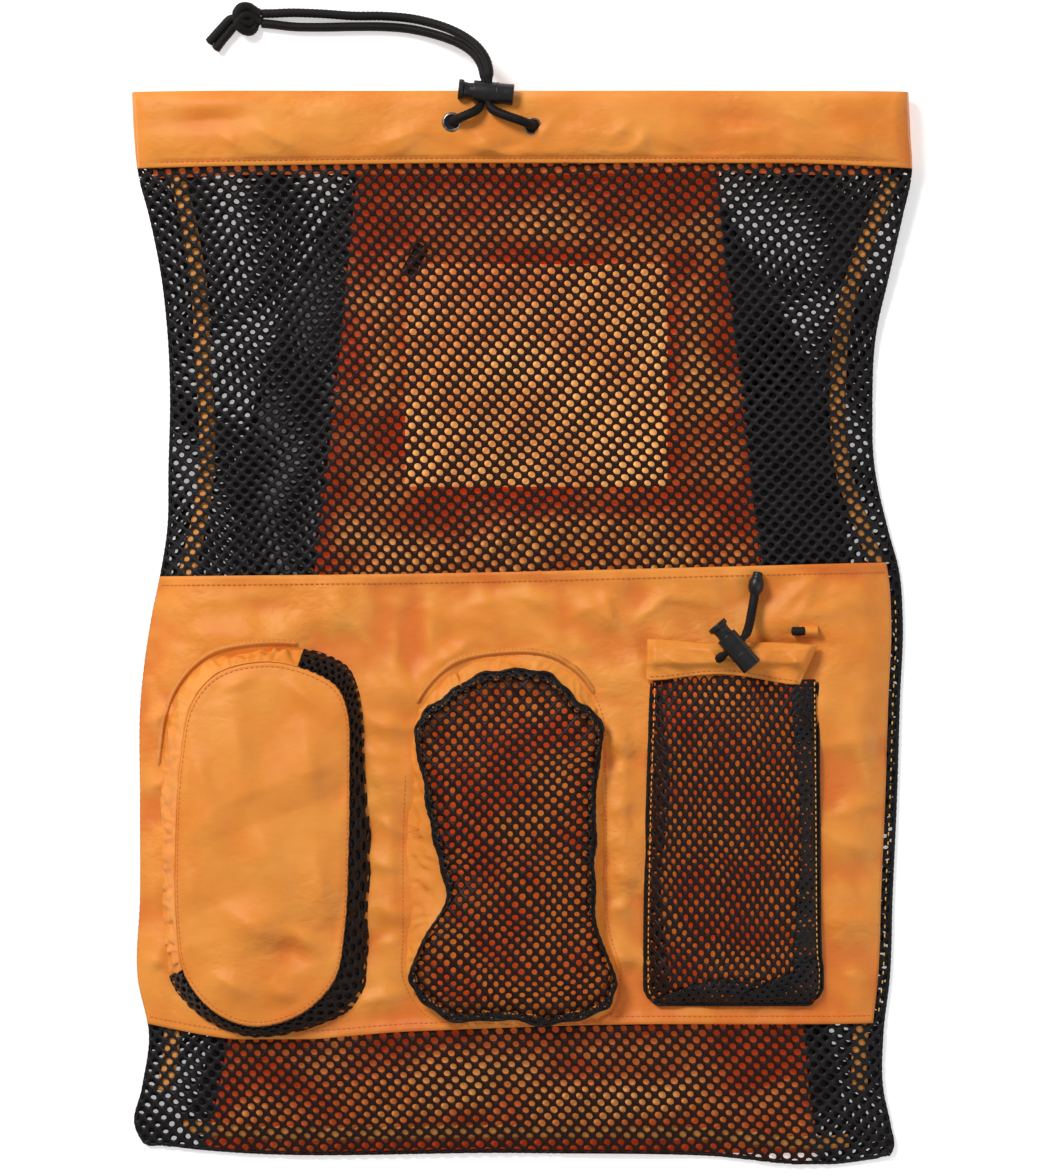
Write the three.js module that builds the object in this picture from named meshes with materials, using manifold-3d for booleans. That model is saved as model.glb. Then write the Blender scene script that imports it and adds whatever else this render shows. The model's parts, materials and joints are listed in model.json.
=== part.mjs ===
// A mesh backpack for swimmers, empty and lying flat on its back with its mouth towards +Y.
// Millimetres, +Z up and out of the bag's front, +X to the right for someone who looks down on the front.
// The bag is two layers, front and back, that meet at the side and bottom seams. A nylon casing with a
// drawcord closes the mouth, and a nylon panel across the front carries three pockets.

import * as THREE from 'three';
import { mergeVertices } from 'three/addons/utils/BufferGeometryUtils.js';
import Module from 'manifold-3d';

const wasm = await Module();
wasm.setup();

// Overall size of the flat bag
const halfWidth = 226.5;
const halfLength = 311.5;

// Walls
const nylon = 1.0;
const knit = 1.2;
const seamGap = 0.3;
const edgeGap = 0.8;
const layGap = 0.5;
const layerGap = 0.5;

// How the two layers lie: the straps lift the back, and slack holds the front off it
const strapThickness = 6.0;
const strapClearance = 0.5;
const webThickness = 1.2;
const webClearance = 1.0;
const compartmentGap = 7.4;
const edgeReach = 24;
const slackReach = 60;
const slackWave = 0.7;
const slackWaveLength = 155;

// Drawcord and the casing round the mouth
const cordDiameter = 5.2;
const squeezedCord = 3.9;
const cordRoom = 0.8;
const hemThickness = 2.4;
const mouthCorner = 1.0;
const casingSteps = 12;

// Eyelets
const eyeletOuter = 11.4;
const eyeletBore = 8.0;
const eyeletWall = 0.7;
const eyeletFlange = 1.0;
const eyeletWasher = 0.5;
const eyeletDrop = { left: 18.6, right: 20.9 };

// Toggles: a sprung plunger in a barrel, with a hole for the cord right through both
const lockDiameter = 12.4;
const lockWall = 1.1;
const lockBarrelLength = 23.4;
const lockEndWall = 1.6;
const lockHeadLength = 6.0;
const lockHeadDiameter = 12.0;
const lockFlange = 2.6;
const lockTravel = 2.2;
const lockNeckGap = lockTravel + 0.4;
const lockHoleWidth = 8.6;
const lockHoleHeight = 7.5;
const lockHoleFromMouth = 7.6;
const slidingGap = 0.3;
const plungerTip = 1.6;

// Pockets
const leftPocket = { x: -148.5, y: -123.5, width: 123.0, length: 227.4, rise: 13, dome: 3.0 };
const middlePocket = { x: -5.8, y: -121.8, width: 124.1, length: 213.4, rise: 8, dome: 5.0 };
const rightPocket = { x: 121.6, top: -26, bottom: -218, width: 99, rise: 4.6, belly: 3.6, band: 20 };
const rightPocketEase = 14;
const bellyReach = 34;
const zipWidth = 4.0;
const zipHeight = 1.5;

// Straps behind
const strapWidth = 62;
const webWidth = 20;
const ladderLength = 26;
const ladderWidth = 30;
const ladderThickness = 4.2;

// Bindings and patch inside
const bindingWidth = 9;
const bindingThickness = 1.0;
const bindingLay = 0.9;
const patch = { x: 8.3, drop: 164.5, width: 152, length: 129, thickness: 0.8 };

// The silhouette, from the mouth down: shares of half the length, and of half the width to each side
const silhouette = [
  { up: 1.0, left: 1.0, right: 0.991 },
  { up: 0.92, left: 0.995, right: 0.996 },
  { up: 0.855, left: 0.986, right: 1.0 },
  { up: 0.77, left: 0.956, right: 0.976 },
  { up: 0.66, left: 0.926, right: 0.942 },
  { up: 0.55, left: 0.91, right: 0.909 },
  { up: 0.43, left: 0.904, right: 0.9 },
  { up: 0.3, left: 0.908, right: 0.906 },
  { up: 0.18, left: 0.912, right: 0.942 },
  { up: 0.11, left: 0.927, right: 0.968 },
  { up: 0.02, left: 0.952, right: 0.978 },
  { up: -0.13, left: 0.979, right: 0.971 },
  { up: -0.32, left: 0.981, right: 0.963 },
  { up: -0.5, left: 0.981, right: 0.952 },
  { up: -0.65, left: 0.987, right: 0.945 },
  { up: -0.76, left: 0.958, right: 0.928 },
  { up: -0.86, left: 0.977, right: 0.928 },
  { up: -0.93, left: 0.994, right: 0.948 },
  { up: -0.97, left: 0.962, right: 0.955 },
  { up: -1.0, left: 0.92, right: 0.93 },
];

// The seams that run across the bag: across is a share of the width, up a share of half the length
const bottomEdge = [
  { across: 0, up: -0.962 },
  { across: 0.06, up: -0.972 },
  { across: 0.5, up: -0.979 },
  { across: 0.75, up: -0.984 },
  { across: 0.92, up: -1.0 },
  { across: 1, up: -0.985 },
];
const panelFoot = [
  { across: 0, up: -0.737 },
  { across: 0.12, up: -0.763 },
  { across: 0.37, up: -0.748 },
  { across: 0.6, up: -0.737 },
  { across: 1, up: -0.735 },
];
const panelHead = [
  { across: 0, up: 0.098 },
  { across: 0.4, up: 0.104 },
  { across: 0.8, up: 0.117 },
  { across: 1, up: 0.124 },
];
const bandHem = [
  { across: 0, up: 0.858 },
  { across: 0.4, up: 0.866 },
  { across: 0.85, up: 0.866 },
  { across: 1, up: 0.858 },
];

// Side edges of the nylon back panel, shares of half the length and half the width
const backPanelEdges = [
  { up: 0.87, left: -0.428, right: 0.502 },
  { up: 0.1, left: -0.543, right: 0.622 },
  { up: -1.0, left: -0.825, right: 0.763 },
];

// Middle line of the inner seam bindings, in shares of half the width in from the silhouette
const bindingInset = [
  { up: 0.85, left: 0.1, right: 0.05 },
  { up: 0.66, left: 0.095, right: 0.09 },
  { up: 0.5, left: 0.09, right: 0.092 },
  { up: 0.3, left: 0.1, right: 0.085 },
  { up: 0.15, left: 0.075, right: 0.06 },
  { up: -0.1, left: 0.06, right: 0.06 },
  { up: -0.92, left: 0.06, right: 0.06 },
];

// Casing thickness from hem to top fold, as shares of its height and of its fullest thickness
const casingProfile = [
  { up: 0, full: 0.3 },
  { up: 0.25, full: 0.48 },
  { up: 0.41, full: 1.0 },
  { up: 0.74, full: 1.0 },
  { up: 0.85, full: 0.7 },
  { up: 0.94, full: 0.44 },
  { up: 1, full: 0.26 },
];
const cavityLevels = [0.14, 0.41, 0.74, 0.85, 0.91];

// Left pocket, clockwise from the top: its face and its foot on the panel, shares of width and length
const leftPocketRim = [
  { faceAcross: 0.014, faceUp: 0.462, footAcross: 0.019, footUp: 0.5 },
  { faceAcross: 0.212, faceUp: 0.439, footAcross: 0.245, footUp: 0.485 },
  { faceAcross: 0.34, faceUp: 0.398, footAcross: 0.396, footUp: 0.444 },
  { faceAcross: 0.392, faceUp: 0.332, footAcross: 0.458, footUp: 0.352 },
  { faceAcross: 0.401, faceUp: 0.184, footAcross: 0.476, footUp: 0.209 },
  { faceAcross: 0.396, faceUp: -0.02, footAcross: 0.5, footUp: -0.038 },
  { faceAcross: 0.377, faceUp: -0.224, footAcross: 0.486, footUp: -0.237 },
  { faceAcross: 0.325, faceUp: -0.352, footAcross: 0.453, footUp: -0.403 },
  { faceAcross: 0.16, faceUp: -0.439, footAcross: 0.245, footUp: -0.469 },
  { faceAcross: -0.057, faceUp: -0.467, footAcross: -0.047, footUp: -0.5 },
  { faceAcross: -0.241, faceUp: -0.429, footAcross: -0.292, footUp: -0.454 },
  { faceAcross: -0.377, faceUp: -0.339, footAcross: -0.448, footUp: -0.362 },
  { faceAcross: -0.415, faceUp: -0.224, footAcross: -0.486, footUp: -0.237 },
  { faceAcross: -0.42, faceUp: 0.005, footAcross: -0.5, footUp: -0.008 },
  { faceAcross: -0.396, faceUp: 0.209, footAcross: -0.491, footUp: 0.222 },
  { faceAcross: -0.344, faceUp: 0.355, footAcross: -0.425, footUp: 0.375 },
  { faceAcross: -0.217, faceUp: 0.434, footAcross: -0.264, footUp: 0.469 },
];

// Middle pocket, clockwise from the top: edge of its net bag and foot of its nylon rim
const middlePocketRim = [
  { faceAcross: -0.056, faceUp: 0.435, footAcross: -0.028, footUp: 0.5 },
  { faceAcross: 0.154, faceUp: 0.424, footAcross: 0.168, footUp: 0.492 },
  { faceAcross: 0.28, faceUp: 0.38, footAcross: 0.318, footUp: 0.437 },
  { faceAcross: 0.379, faceUp: 0.318, footAcross: 0.412, footUp: 0.337 },
  { faceAcross: 0.379, faceUp: 0.187, footAcross: 0.428, footUp: 0.187 },
  { faceAcross: 0.364, faceUp: -0.06, footAcross: 0.433, footUp: -0.057 },
  { faceAcross: 0.379, faceUp: -0.234, footAcross: 0.442, footUp: -0.234 },
  { faceAcross: 0.455, faceUp: -0.37, footAcross: 0.5, footUp: -0.37 },
  { faceAcross: 0.405, faceUp: -0.445, footAcross: 0.449, footUp: -0.475 },
  { faceAcross: 0.178, faceUp: -0.472, footAcross: 0.178, footUp: -0.5 },
  { faceAcross: -0.084, faceUp: -0.466, footAcross: -0.093, footUp: -0.495 },
  { faceAcross: -0.336, faceUp: -0.45, footAcross: -0.374, footUp: -0.481 },
  { faceAcross: -0.448, faceUp: -0.37, footAcross: -0.495, footUp: -0.383 },
  { faceAcross: -0.383, faceUp: -0.253, footAcross: -0.5, footUp: -0.261 },
  { faceAcross: -0.29, faceUp: -0.158, footAcross: -0.5, footUp: -0.139 },
  { faceAcross: -0.332, faceUp: -0.03, footAcross: -0.5, footUp: -0.03 },
  { faceAcross: -0.383, faceUp: 0.12, footAcross: -0.491, footUp: 0.12 },
  { faceAcross: -0.425, faceUp: 0.255, footAcross: -0.472, footUp: 0.255 },
  { faceAcross: -0.374, faceUp: 0.323, footAcross: -0.421, footUp: 0.378 },
  { faceAcross: -0.234, faceUp: 0.41, footAcross: -0.266, footUp: 0.47 },
];

// Right pocket's sides from its foot up, shares of its width from its middle, and how high it stands
const rightPocketSides = [
  { up: 0, left: -0.46, right: 0.47 },
  { up: 0.05, left: -0.51, right: 0.53 },
  { up: 0.15, left: -0.51, right: 0.52 },
  { up: 0.5, left: -0.5, right: 0.51 },
  { up: 1, left: -0.47, right: 0.5 },
];

// Routes of the free cords, chosen by hand
const drawcordLeftRoute = [
  [-42.4, 292.2, 20.2], [-40.9, 292.8, 23.4], [-39.8, 293.2, 26.0], [-38.2, 293.8, 28.7],
  [-35.8, 294.8, 30.9], [-32.8, 296.0, 31.8], [-29.6, 297.4, 31.2], [-26.8, 299.0, 29.6],
  [-24.5, 301.2, 27.8], [-23.0, 304.0, 26.3], [-22.4, 307.0, 25.6], [-22.1, 310.1, 25.5],
  [-21.8, 314.0, 25.5], [-21.8, 317.5, 25.2], [-22.3, 322.0, 23.6], [-24.0, 327.5, 20.2],
  [-28.0, 333.4, 16.0], [-34.8, 338.8, 11.6], [-43.6, 343.0, 7.8], [-54.0, 346.4, 5.0],
  [-66.0, 349.0, 3.3], [-80.0, 350.2, 2.8], [-98.6, 350.3, 2.8], [-116.0, 350.0, 2.8],
  [-133.4, 350.3, 2.8], [-145.0, 351.6, 2.8], [-152.0, 352.2, 2.9],
];
const drawcordRightRoute = [
  [8.2, 290.0, 20.2], [6.7, 290.5, 23.4], [5.5, 290.9, 26.0], [4.0, 291.5, 28.7],
  [1.5, 292.3, 31.0], [-1.7, 293.4, 32.4], [-5.4, 294.6, 32.8], [-9.2, 296.0, 32.4],
  [-12.8, 297.5, 31.2], [-16.2, 299.2, 29.8], [-18.8, 301.8, 28.9], [-19.6, 305.2, 28.5],
  [-19.4, 310.0, 28.6], [-19.2, 314.0, 28.7], [-19.0, 318.0, 29.0], [-19.2, 323.0, 28.2],
  [-20.8, 329.0, 25.6], [-25.0, 335.8, 21.6], [-32.0, 342.2, 16.8], [-41.2, 347.6, 12.2],
  [-52.2, 351.8, 8.1], [-65.0, 354.9, 4.9], [-80.0, 356.4, 3.1], [-98.6, 356.6, 2.8],
  [-116.0, 357.8, 2.8], [-133.4, 358.4, 2.8], [-145.0, 358.0, 2.8], [-152.0, 357.9, 2.9],
];
const knotTails = [
  [[-164.6, 350.2, 3.6], [-168.6, 346.2, 3.0], [-173.0, 341.9, 2.8], [-177.5, 337.6, 2.8]],
  [[-168.4, 354.0, 3.6], [-172.6, 350.1, 3.0], [-177.0, 345.8, 2.8], [-181.5, 341.4, 2.8]],
];
const pocketCordRoute = [
  [112.4, -17.9, 25.8], [112.9, -17.5, 27.6], [113.8, -16.7, 30.3], [115.4, -15.4, 33.0],
  [117.5, -13.5, 35.2], [119.9, -11.5, 36.2], [122.2, -9.5, 36.4], [124.8, -7.3, 36.2],
  [127.1, -5.1, 35.2], [129.3, -2.2, 33.0], [131.0, 2.4, 29.6], [132.2, 7.8, 26.3],
  [133.3, 13.2, 23.5], [134.2, 18.2, 21.8], [134.6, 20.8, 21.4],
];

const cordLockPlace = { head: [-36.7, 311.54, 27.2], end: [-5.0, 308.4, 27.2] };
const pocketLockPlace = { head: [111.7, 2.85, 36.4], end: [132.4, -21.55, 36.4] };

const up = new THREE.Vector3(0, 0, 1);

// Value of a column of a table at a place along its key column, in straight steps
function reading(table, key, column, at) {
  const rising = table[0][key] < table[table.length - 1][key];
  const rows = rising ? table : [...table].reverse();
  if (at <= rows[0][key]) return rows[0][column];
  for (let k = 1; k < rows.length; k += 1) {
    if (at <= rows[k][key]) {
      const share = (at - rows[k - 1][key]) / (rows[k][key] - rows[k - 1][key]);
      return THREE.MathUtils.lerp(rows[k - 1][column], rows[k][column], share);
    }
  }
  return rows[rows.length - 1][column];
}

const leftEdge = (y) => -halfWidth * reading(silhouette, 'up', 'left', y / halfLength);
const rightEdge = (y) => halfWidth * reading(silhouette, 'up', 'right', y / halfLength);
const seamY = (table, across) => halfLength * reading(table, 'across', 'up', across);
const acrossAt = (x, y) => (x - leftEdge(y)) / (rightEdge(y) - leftEdge(y));

const smooth = (t) => THREE.MathUtils.smoothstep(t, 0, 1);
const filling = (t) => 1 - (1 - THREE.MathUtils.clamp(t, 0, 1)) ** 2;

// Distance from a point to the nearer side seam, and to the bottom seam
const sideDistance = (x, y) => Math.min(x - leftEdge(y), rightEdge(y) - x);
const footDistance = (x, y) => y - seamY(bottomEdge, acrossAt(x, y));

// Height of the back layer's underside: up on the straps, down to the floor at its edges
const strapLift = strapThickness + strapClearance;
const webLift = webThickness + webClearance;
const strapEndY = -62;
const webBelowY = -235;
function backUnder(x, y) {
  const hemY = seamY(bandHem, acrossAt(x, y));
  const lift = THREE.MathUtils.lerp(webLift, strapLift, smooth((y - webBelowY) / (strapEndY - 8 - webBelowY)));
  const held = smooth((hemY - y) / 140);
  const sides = 1 - (1 - smooth(sideDistance(x, y) / edgeReach)) * held;
  return lift * sides * smooth(footDistance(x, y) / edgeReach);
}
const backTop = (x, y) => backUnder(x, y) + knit;

// Height of the front layer's underside, with the soft waves of slack cloth
function frontUnder(x, y) {
  const fill = filling(sideDistance(x, y) / slackReach) * filling(footDistance(x, y) / slackReach);
  const turn = (2 * Math.PI) / slackWaveLength;
  const wave = slackWave * Math.sin(turn * (x + 0.4 * y)) * Math.cos(turn * 0.7 * (y - 0.3 * x));
  return backTop(x, y) + layerGap + (compartmentGap + wave) * fill;
}
const panelTop = (x, y) => frontUnder(x, y) + nylon;

// A closed wall between an outer and an inner skin over a grid of cells, open in the cells that are gaps
function skinSolid({ columns, rows, point, wraps = false, isGap = () => false, apex = null }) {
  const ring = wraps ? columns : columns + 1;
  const positions = [];
  for (const side of ['outer', 'inner']) {
    for (let j = 0; j <= rows; j += 1) {
      for (let i = 0; i < ring; i += 1) positions.push(...point(i, j, side));
    }
  }
  const layer = ring * (rows + 1);
  const index = (i, j) => j * ring + (wraps ? i % columns : i);
  const filled = (i, j) => {
    if (j < 0 || j >= rows) return false;
    if (!wraps && (i < 0 || i >= columns)) return false;
    return !isGap((i + columns) % columns, j);
  };
  const triangles = [];
  const wall = (p, q) => triangles.push(p + layer, q + layer, q, p + layer, q, p);
  for (let j = 0; j < rows; j += 1) {
    for (let i = 0; i < columns; i += 1) {
      if (!filled(i, j)) continue;
      const [a, b, c, d] = [index(i, j), index(i + 1, j), index(i + 1, j + 1), index(i, j + 1)];
      triangles.push(a, b, c, a, c, d);
      triangles.push(a + layer, c + layer, b + layer, a + layer, d + layer, c + layer);
      if (!filled(i, j - 1)) wall(a, b);
      if (!filled(i + 1, j)) wall(b, c);
      if (!filled(i, j + 1) && !(apex && j === rows - 1)) wall(c, d);
      if (!filled(i - 1, j)) wall(d, a);
    }
  }
  if (apex) {
    const tip = positions.length / 3;
    positions.push(...apex('outer'), ...apex('inner'));
    for (let i = 0; i < columns; i += 1) {
      const [p, q] = [index(i, rows), index(i + 1, rows)];
      triangles.push(p, q, tip, q + layer, p + layer, tip + 1);
    }
  }
  return indexed(positions, triangles);
}

function indexed(positions, triangles) {
  const geometry = new THREE.BufferGeometry();
  geometry.setAttribute('position', new THREE.Float32BufferAttribute(positions, 3));
  geometry.setIndex(triangles);
  return geometry;
}

// A closed ring of closed sections
function ringSolid(steps, corners, point) {
  const positions = [];
  const triangles = [];
  for (let i = 0; i < steps; i += 1) {
    for (let j = 0; j < corners; j += 1) positions.push(...point(i, j));
  }
  for (let i = 0; i < steps; i += 1) {
    const next = (i + 1) % steps;
    for (let j = 0; j < corners; j += 1) {
      const k = (j + 1) % corners;
      const [a, b, c, d] = [i * corners + j, next * corners + j, next * corners + k, i * corners + k];
      triangles.push(a, b, c, a, c, d);
    }
  }
  return indexed(positions, triangles);
}

// A round tube through hand-chosen points, its radius given along its length
function tubeSolid(route, radiusAt, sides, stepLength) {
  const curve = new THREE.CatmullRomCurve3(route.map((p) => new THREE.Vector3(...p)), false, 'centripetal');
  const steps = Math.max(2, Math.round(curve.getLength() / stepLength));
  const frames = curve.computeFrenetFrames(steps);
  const positions = [];
  const triangles = [];
  for (let i = 0; i <= steps; i += 1) {
    const centre = curve.getPointAt(i / steps);
    const radius = radiusAt(centre);
    for (let j = 0; j < sides; j += 1) {
      const angle = (2 * Math.PI * (j + 0.5)) / sides;
      const corner = centre.clone()
        .addScaledVector(frames.normals[i], radius * Math.cos(angle))
        .addScaledVector(frames.binormals[i], radius * Math.sin(angle));
      positions.push(corner.x, corner.y, corner.z);
    }
  }
  for (let i = 0; i < steps; i += 1) {
    for (let j = 0; j < sides; j += 1) {
      const k = (j + 1) % sides;
      const [a, b, c, d] = [i * sides + j, i * sides + k, (i + 1) * sides + k, (i + 1) * sides + j];
      triangles.push(a, b, c, a, c, d);
    }
  }
  const last = steps * sides;
  for (let j = 1; j < sides - 1; j += 1) {
    triangles.push(0, j + 1, j, last, last + j, last + j + 1);
  }
  return indexed(positions, triangles);
}

// Boolean work on closed meshes
function asManifold(geometry) {
  const bare = geometry.clone();
  bare.deleteAttribute('normal');
  bare.deleteAttribute('uv');
  const merged = mergeVertices(bare, 1e-4);
  return new wasm.Manifold(new wasm.Mesh({
    numProp: 3,
    vertProperties: new Float32Array(merged.attributes.position.array),
    triVerts: new Uint32Array(merged.index.array),
  }));
}

function asGeometry(solid) {
  const mesh = solid.getMesh();
  return indexed(Array.from(mesh.vertProperties), Array.from(mesh.triVerts));
}

const cut = (body, ...tools) => asGeometry(tools.reduce((rest, tool) => rest.subtract(asManifold(tool)), asManifold(body)));
const join = (first, ...others) => asGeometry(others.reduce((sum, other) => sum.add(asManifold(other)), asManifold(first)));

// A lathed solid with its axis along +Z
function lathe(profile, segments) {
  const geometry = new THREE.LatheGeometry(profile.map(([r, h]) => new THREE.Vector2(r, h)), segments);
  return geometry.rotateX(Math.PI / 2);
}

const model = new THREE.Group();

const colours = {
  nylon: 0xe69540,
  nylonShade: 0xd07a2c,
  knit: 0x232123,
  cord: 0x161517,
  plastic: 0x1a1a1b,
  metal: 0x4a4a4f,
  thread: 0xe0a24c,
};

function add(name, geometry, colour, roughness = 0.6, metalness = 0) {
  const material = new THREE.MeshStandardMaterial({ color: colour, roughness, metalness });
  const mesh = new THREE.Mesh(geometry, material);
  mesh.name = name;
  model.add(mesh);
  return mesh;
}

// Lines of a grid with plain rims at both ends and evenly spaced cells between, holes and ribs in turn
function latticeLines(holes, rims) {
  const inner = 2 * holes - 1;
  const start = rims[rims.length - 1];
  const cells = Array.from({ length: inner - 1 }, (_, k) => start + ((1 - 2 * start) * (k + 1)) / inner);
  return [0, ...rims, ...cells, ...[...rims].reverse().map((rim) => 1 - rim), 1];
}

// A layer of cloth between two seams and two side edges, lying at a height
function clothLayer({ low, high, left, right, across, along, under, thickness, holes }) {
  const columns = across.length - 1;
  const rows = along.length - 1;
  const rim = holes ? holes.rim : 0;
  const halfCell = holes ? (across[rim + 1] - across[rim]) / 2 : 0;
  const inHoles = (i) => holes && i >= rim && i <= columns - rim;
  const rowTurn = (j) => (Math.floor((j - holes.rowRim) / 2) % 2 === 0 ? -1 : 1);
  const point = (i, j, side) => {
    const turned = inHoles(i) && i > rim && i < columns - rim && j >= holes.rowRim && j <= rows - holes.rowRim;
    const shift = turned ? rowTurn(j) * halfCell : 0;
    const u = across[i] + shift;
    const lowY = low(u);
    const y = THREE.MathUtils.lerp(lowY, high(u), along[j]);
    const x = THREE.MathUtils.lerp(left(y), right(y), u);
    return [x, y, under(x, y) + (side === 'outer' ? thickness : 0)];
  };
  const isGap = (i, j) => {
    if (!holes) return false;
    const inColumns = i >= rim && i < columns - rim;
    const inRows = j >= holes.rowRim && j < rows - holes.rowRim;
    return inColumns && inRows && (i - rim) % 2 === 0 && (j - holes.rowRim) % 2 === 0;
  };
  return skinSolid({ columns, rows, point, isGap });
}

const even = (count) => Array.from({ length: count + 1 }, (_, k) => k / count);
const sideRims = [0.018, 0.055];

// Front layer: net above the pocket panel, the panel, net below it, and the net strip beside the panel
const frontLines = latticeLines(8, sideRims);
const panelEnd = 0.984;

function frontLayer(name, low, high, across, along, thickness, holes, colour, roughness) {
  const geometry = clothLayer({
    low, high, left: leftEdge, right: rightEdge, across, along, under: frontUnder, thickness, holes,
  });
  add(name, geometry, colour, roughness);
}

frontLayer(
  'front_net_upper', (u) => seamY(panelHead, u) + seamGap, (u) => seamY(bandHem, u) - edgeGap,
  frontLines, latticeLines(5, [0.06]), knit, { rim: sideRims.length, rowRim: 1 }, colours.knit, 0.75,
);
frontLayer(
  'pocket_panel', (u) => seamY(panelFoot, u), (u) => seamY(panelHead, u),
  [...frontLines.slice(0, -2), panelEnd], even(8), nylon, null, colours.nylon, 0.5,
);
frontLayer(
  'front_net_lower', (u) => seamY(bottomEdge, u), (u) => seamY(panelFoot, u) - seamGap,
  frontLines, [0, 0.12, 0.3, 0.7, 0.88, 1], knit, { rim: sideRims.length, rowRim: 2 }, colours.knit, 0.75,
);
frontLayer(
  'side_net_right', (u) => seamY(panelFoot, u) + seamGap, (u) => seamY(panelHead, u) - seamGap,
  [panelEnd + seamGap / halfWidth, 1], even(8), knit, null, colours.knit, 0.75,
);

// Back layer: nylon trapezoid between two net sides, its edges curves through the rows of their table
function curveThrough(table, column, at) {
  const terms = table.map((row, k) => table.reduce(
    (product, other, m) => (m === k ? product : (product * (at - other.up)) / (row.up - other.up)),
    row[column],
  ));
  return terms.reduce((sum, term) => sum + term, 0);
}
const backPanelEdge = (side) => (y) => halfWidth * curveThrough(backPanelEdges, side, y / halfLength);
const backPanelLeft = backPanelEdge('left');
const backPanelRight = backPanelEdge('right');
const seamAt = (table, x, y) => seamY(table, acrossAt(x, y));

function backLayer(name, left, right, across, thickness, colour, holes) {
  const low = (u) => seamAt(bottomEdge, THREE.MathUtils.lerp(left(-halfLength), right(-halfLength), u), -halfLength);
  const hemUp = halfLength * 0.86;
  const high = (u) => seamAt(bandHem, THREE.MathUtils.lerp(left(hemUp), right(hemUp), u), hemUp) - edgeGap;
  const along = holes ? latticeLines(9, [0.02, 0.045]) : [0, 0.02, 0.045, ...even(12).slice(1, -1).map((v) => 0.045 + v * 0.955), 1];
  const geometry = clothLayer({
    low, high, left, right, across, along, under: backUnder, thickness, holes: holes && { rim: holes, rowRim: 2 },
  });
  add(name, geometry, colour, holes ? 0.75 : 0.5);
}

backLayer('back_panel', backPanelLeft, backPanelRight, even(6), nylon, colours.nylonShade, 0);
backLayer('back_net_left', leftEdge, (y) => backPanelLeft(y) - seamGap, latticeLines(1, [0.09, 0.27]), knit, colours.knit, 2);
backLayer('back_net_right', (y) => backPanelRight(y) + seamGap, rightEdge, latticeLines(1, [0.09, 0.27]), knit, colours.knit, 2);

add('back_patch', skinSolid({
  columns: 3,
  rows: 3,
  point: (i, j, side) => {
    const x = patch.x + patch.width * (i / 3 - 0.5);
    const y = halfLength - patch.drop + patch.length * (j / 3 - 0.5);
    return [x, y, backUnder(x, y) + nylon + layGap + (side === 'outer' ? patch.thickness : 0)];
  },
}), colours.nylon, 0.45);

// Inner bindings of the side seams and of the bottom seam
function sideBinding(side) {
  const rows = 20;
  const lowY = seamY(bottomEdge, 0.5) + 36;
  const highY = seamY(bandHem, 0) - 4;
  const way = side === 'left' ? 1 : -1;
  const edge = side === 'left' ? leftEdge : rightEdge;
  return skinSolid({
    columns: 1,
    rows,
    point: (i, j, skin) => {
      const y = THREE.MathUtils.lerp(lowY, highY, j / rows);
      const inset = halfWidth * reading(bindingInset, 'up', side, y / halfLength);
      const x = edge(y) + way * inset + bindingWidth * (i - 0.5);
      return [x, y, backTop(x, y) + bindingLay + (skin === 'outer' ? bindingThickness : 0)];
    },
  });
}
add('binding_left', sideBinding('left'), colours.thread, 0.6);
add('binding_right', sideBinding('right'), colours.thread, 0.6);

add('binding_bottom', skinSolid({
  columns: 16,
  rows: 1,
  point: (i, j, side) => {
    const x = THREE.MathUtils.lerp(-halfWidth * 0.87, halfWidth * 0.84, i / 16);
    const y = seamY(bottomEdge, acrossAt(x, -halfLength)) + 9.5 + 7 * j;
    return [x, y, backTop(x, y) + layGap + (side === 'outer' ? bindingThickness : 0)];
  },
}), colours.thread, 0.6);

// The casing: a flattened ring of folded nylon round the mouth
const casingFull = 2 * nylon + cordDiameter + cordRoom;
const mouthBackZ = casingFull;
const straightEnd = halfWidth - casingFull - mouthCorner;

function casingPath() {
  const frontSteps = casingSteps;
  const backSteps = casingSteps / 2;
  const turnSteps = 4;
  const path = [];
  const hemMiddle = halfLength * bandHem[1].up;
  for (let k = 0; k <= frontSteps; k += 1) {
    const x = THREE.MathUtils.lerp(-straightEnd, straightEnd, k / frontSteps);
    const room = Math.max(0, frontUnder(x, hemMiddle) - backTop(x, hemMiddle) - layerGap);
    path.push([x, mouthBackZ + mouthCorner + room]);
  }
  const corner = mouthCorner / 2;
  const turn = (middleX, startAngle) => {
    for (let k = 1; k < turnSteps; k += 1) {
      const angle = startAngle - (Math.PI * k) / turnSteps;
      path.push([middleX + corner * Math.cos(angle), mouthBackZ + corner + corner * Math.sin(angle)]);
    }
  };
  turn(straightEnd, Math.PI / 2);
  for (let k = 0; k <= backSteps; k += 1) {
    path.push([THREE.MathUtils.lerp(straightEnd, -straightEnd, k / backSteps), mouthBackZ]);
  }
  turn(-straightEnd, 1.5 * Math.PI);
  return path;
}
const ringPath = casingPath();
const ringNormals = ringPath.map((_, k) => {
  const before = ringPath[(k + ringPath.length - 1) % ringPath.length];
  const after = ringPath[(k + 1) % ringPath.length];
  const run = new THREE.Vector2(after[0] - before[0], after[1] - before[1]).normalize();
  return [-run.y, run.x];
});

// Thickness of the casing at a share of its height
const casingOut = (share) => Math.max(hemThickness, casingFull * reading(casingProfile, 'up', 'full', share));

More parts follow.
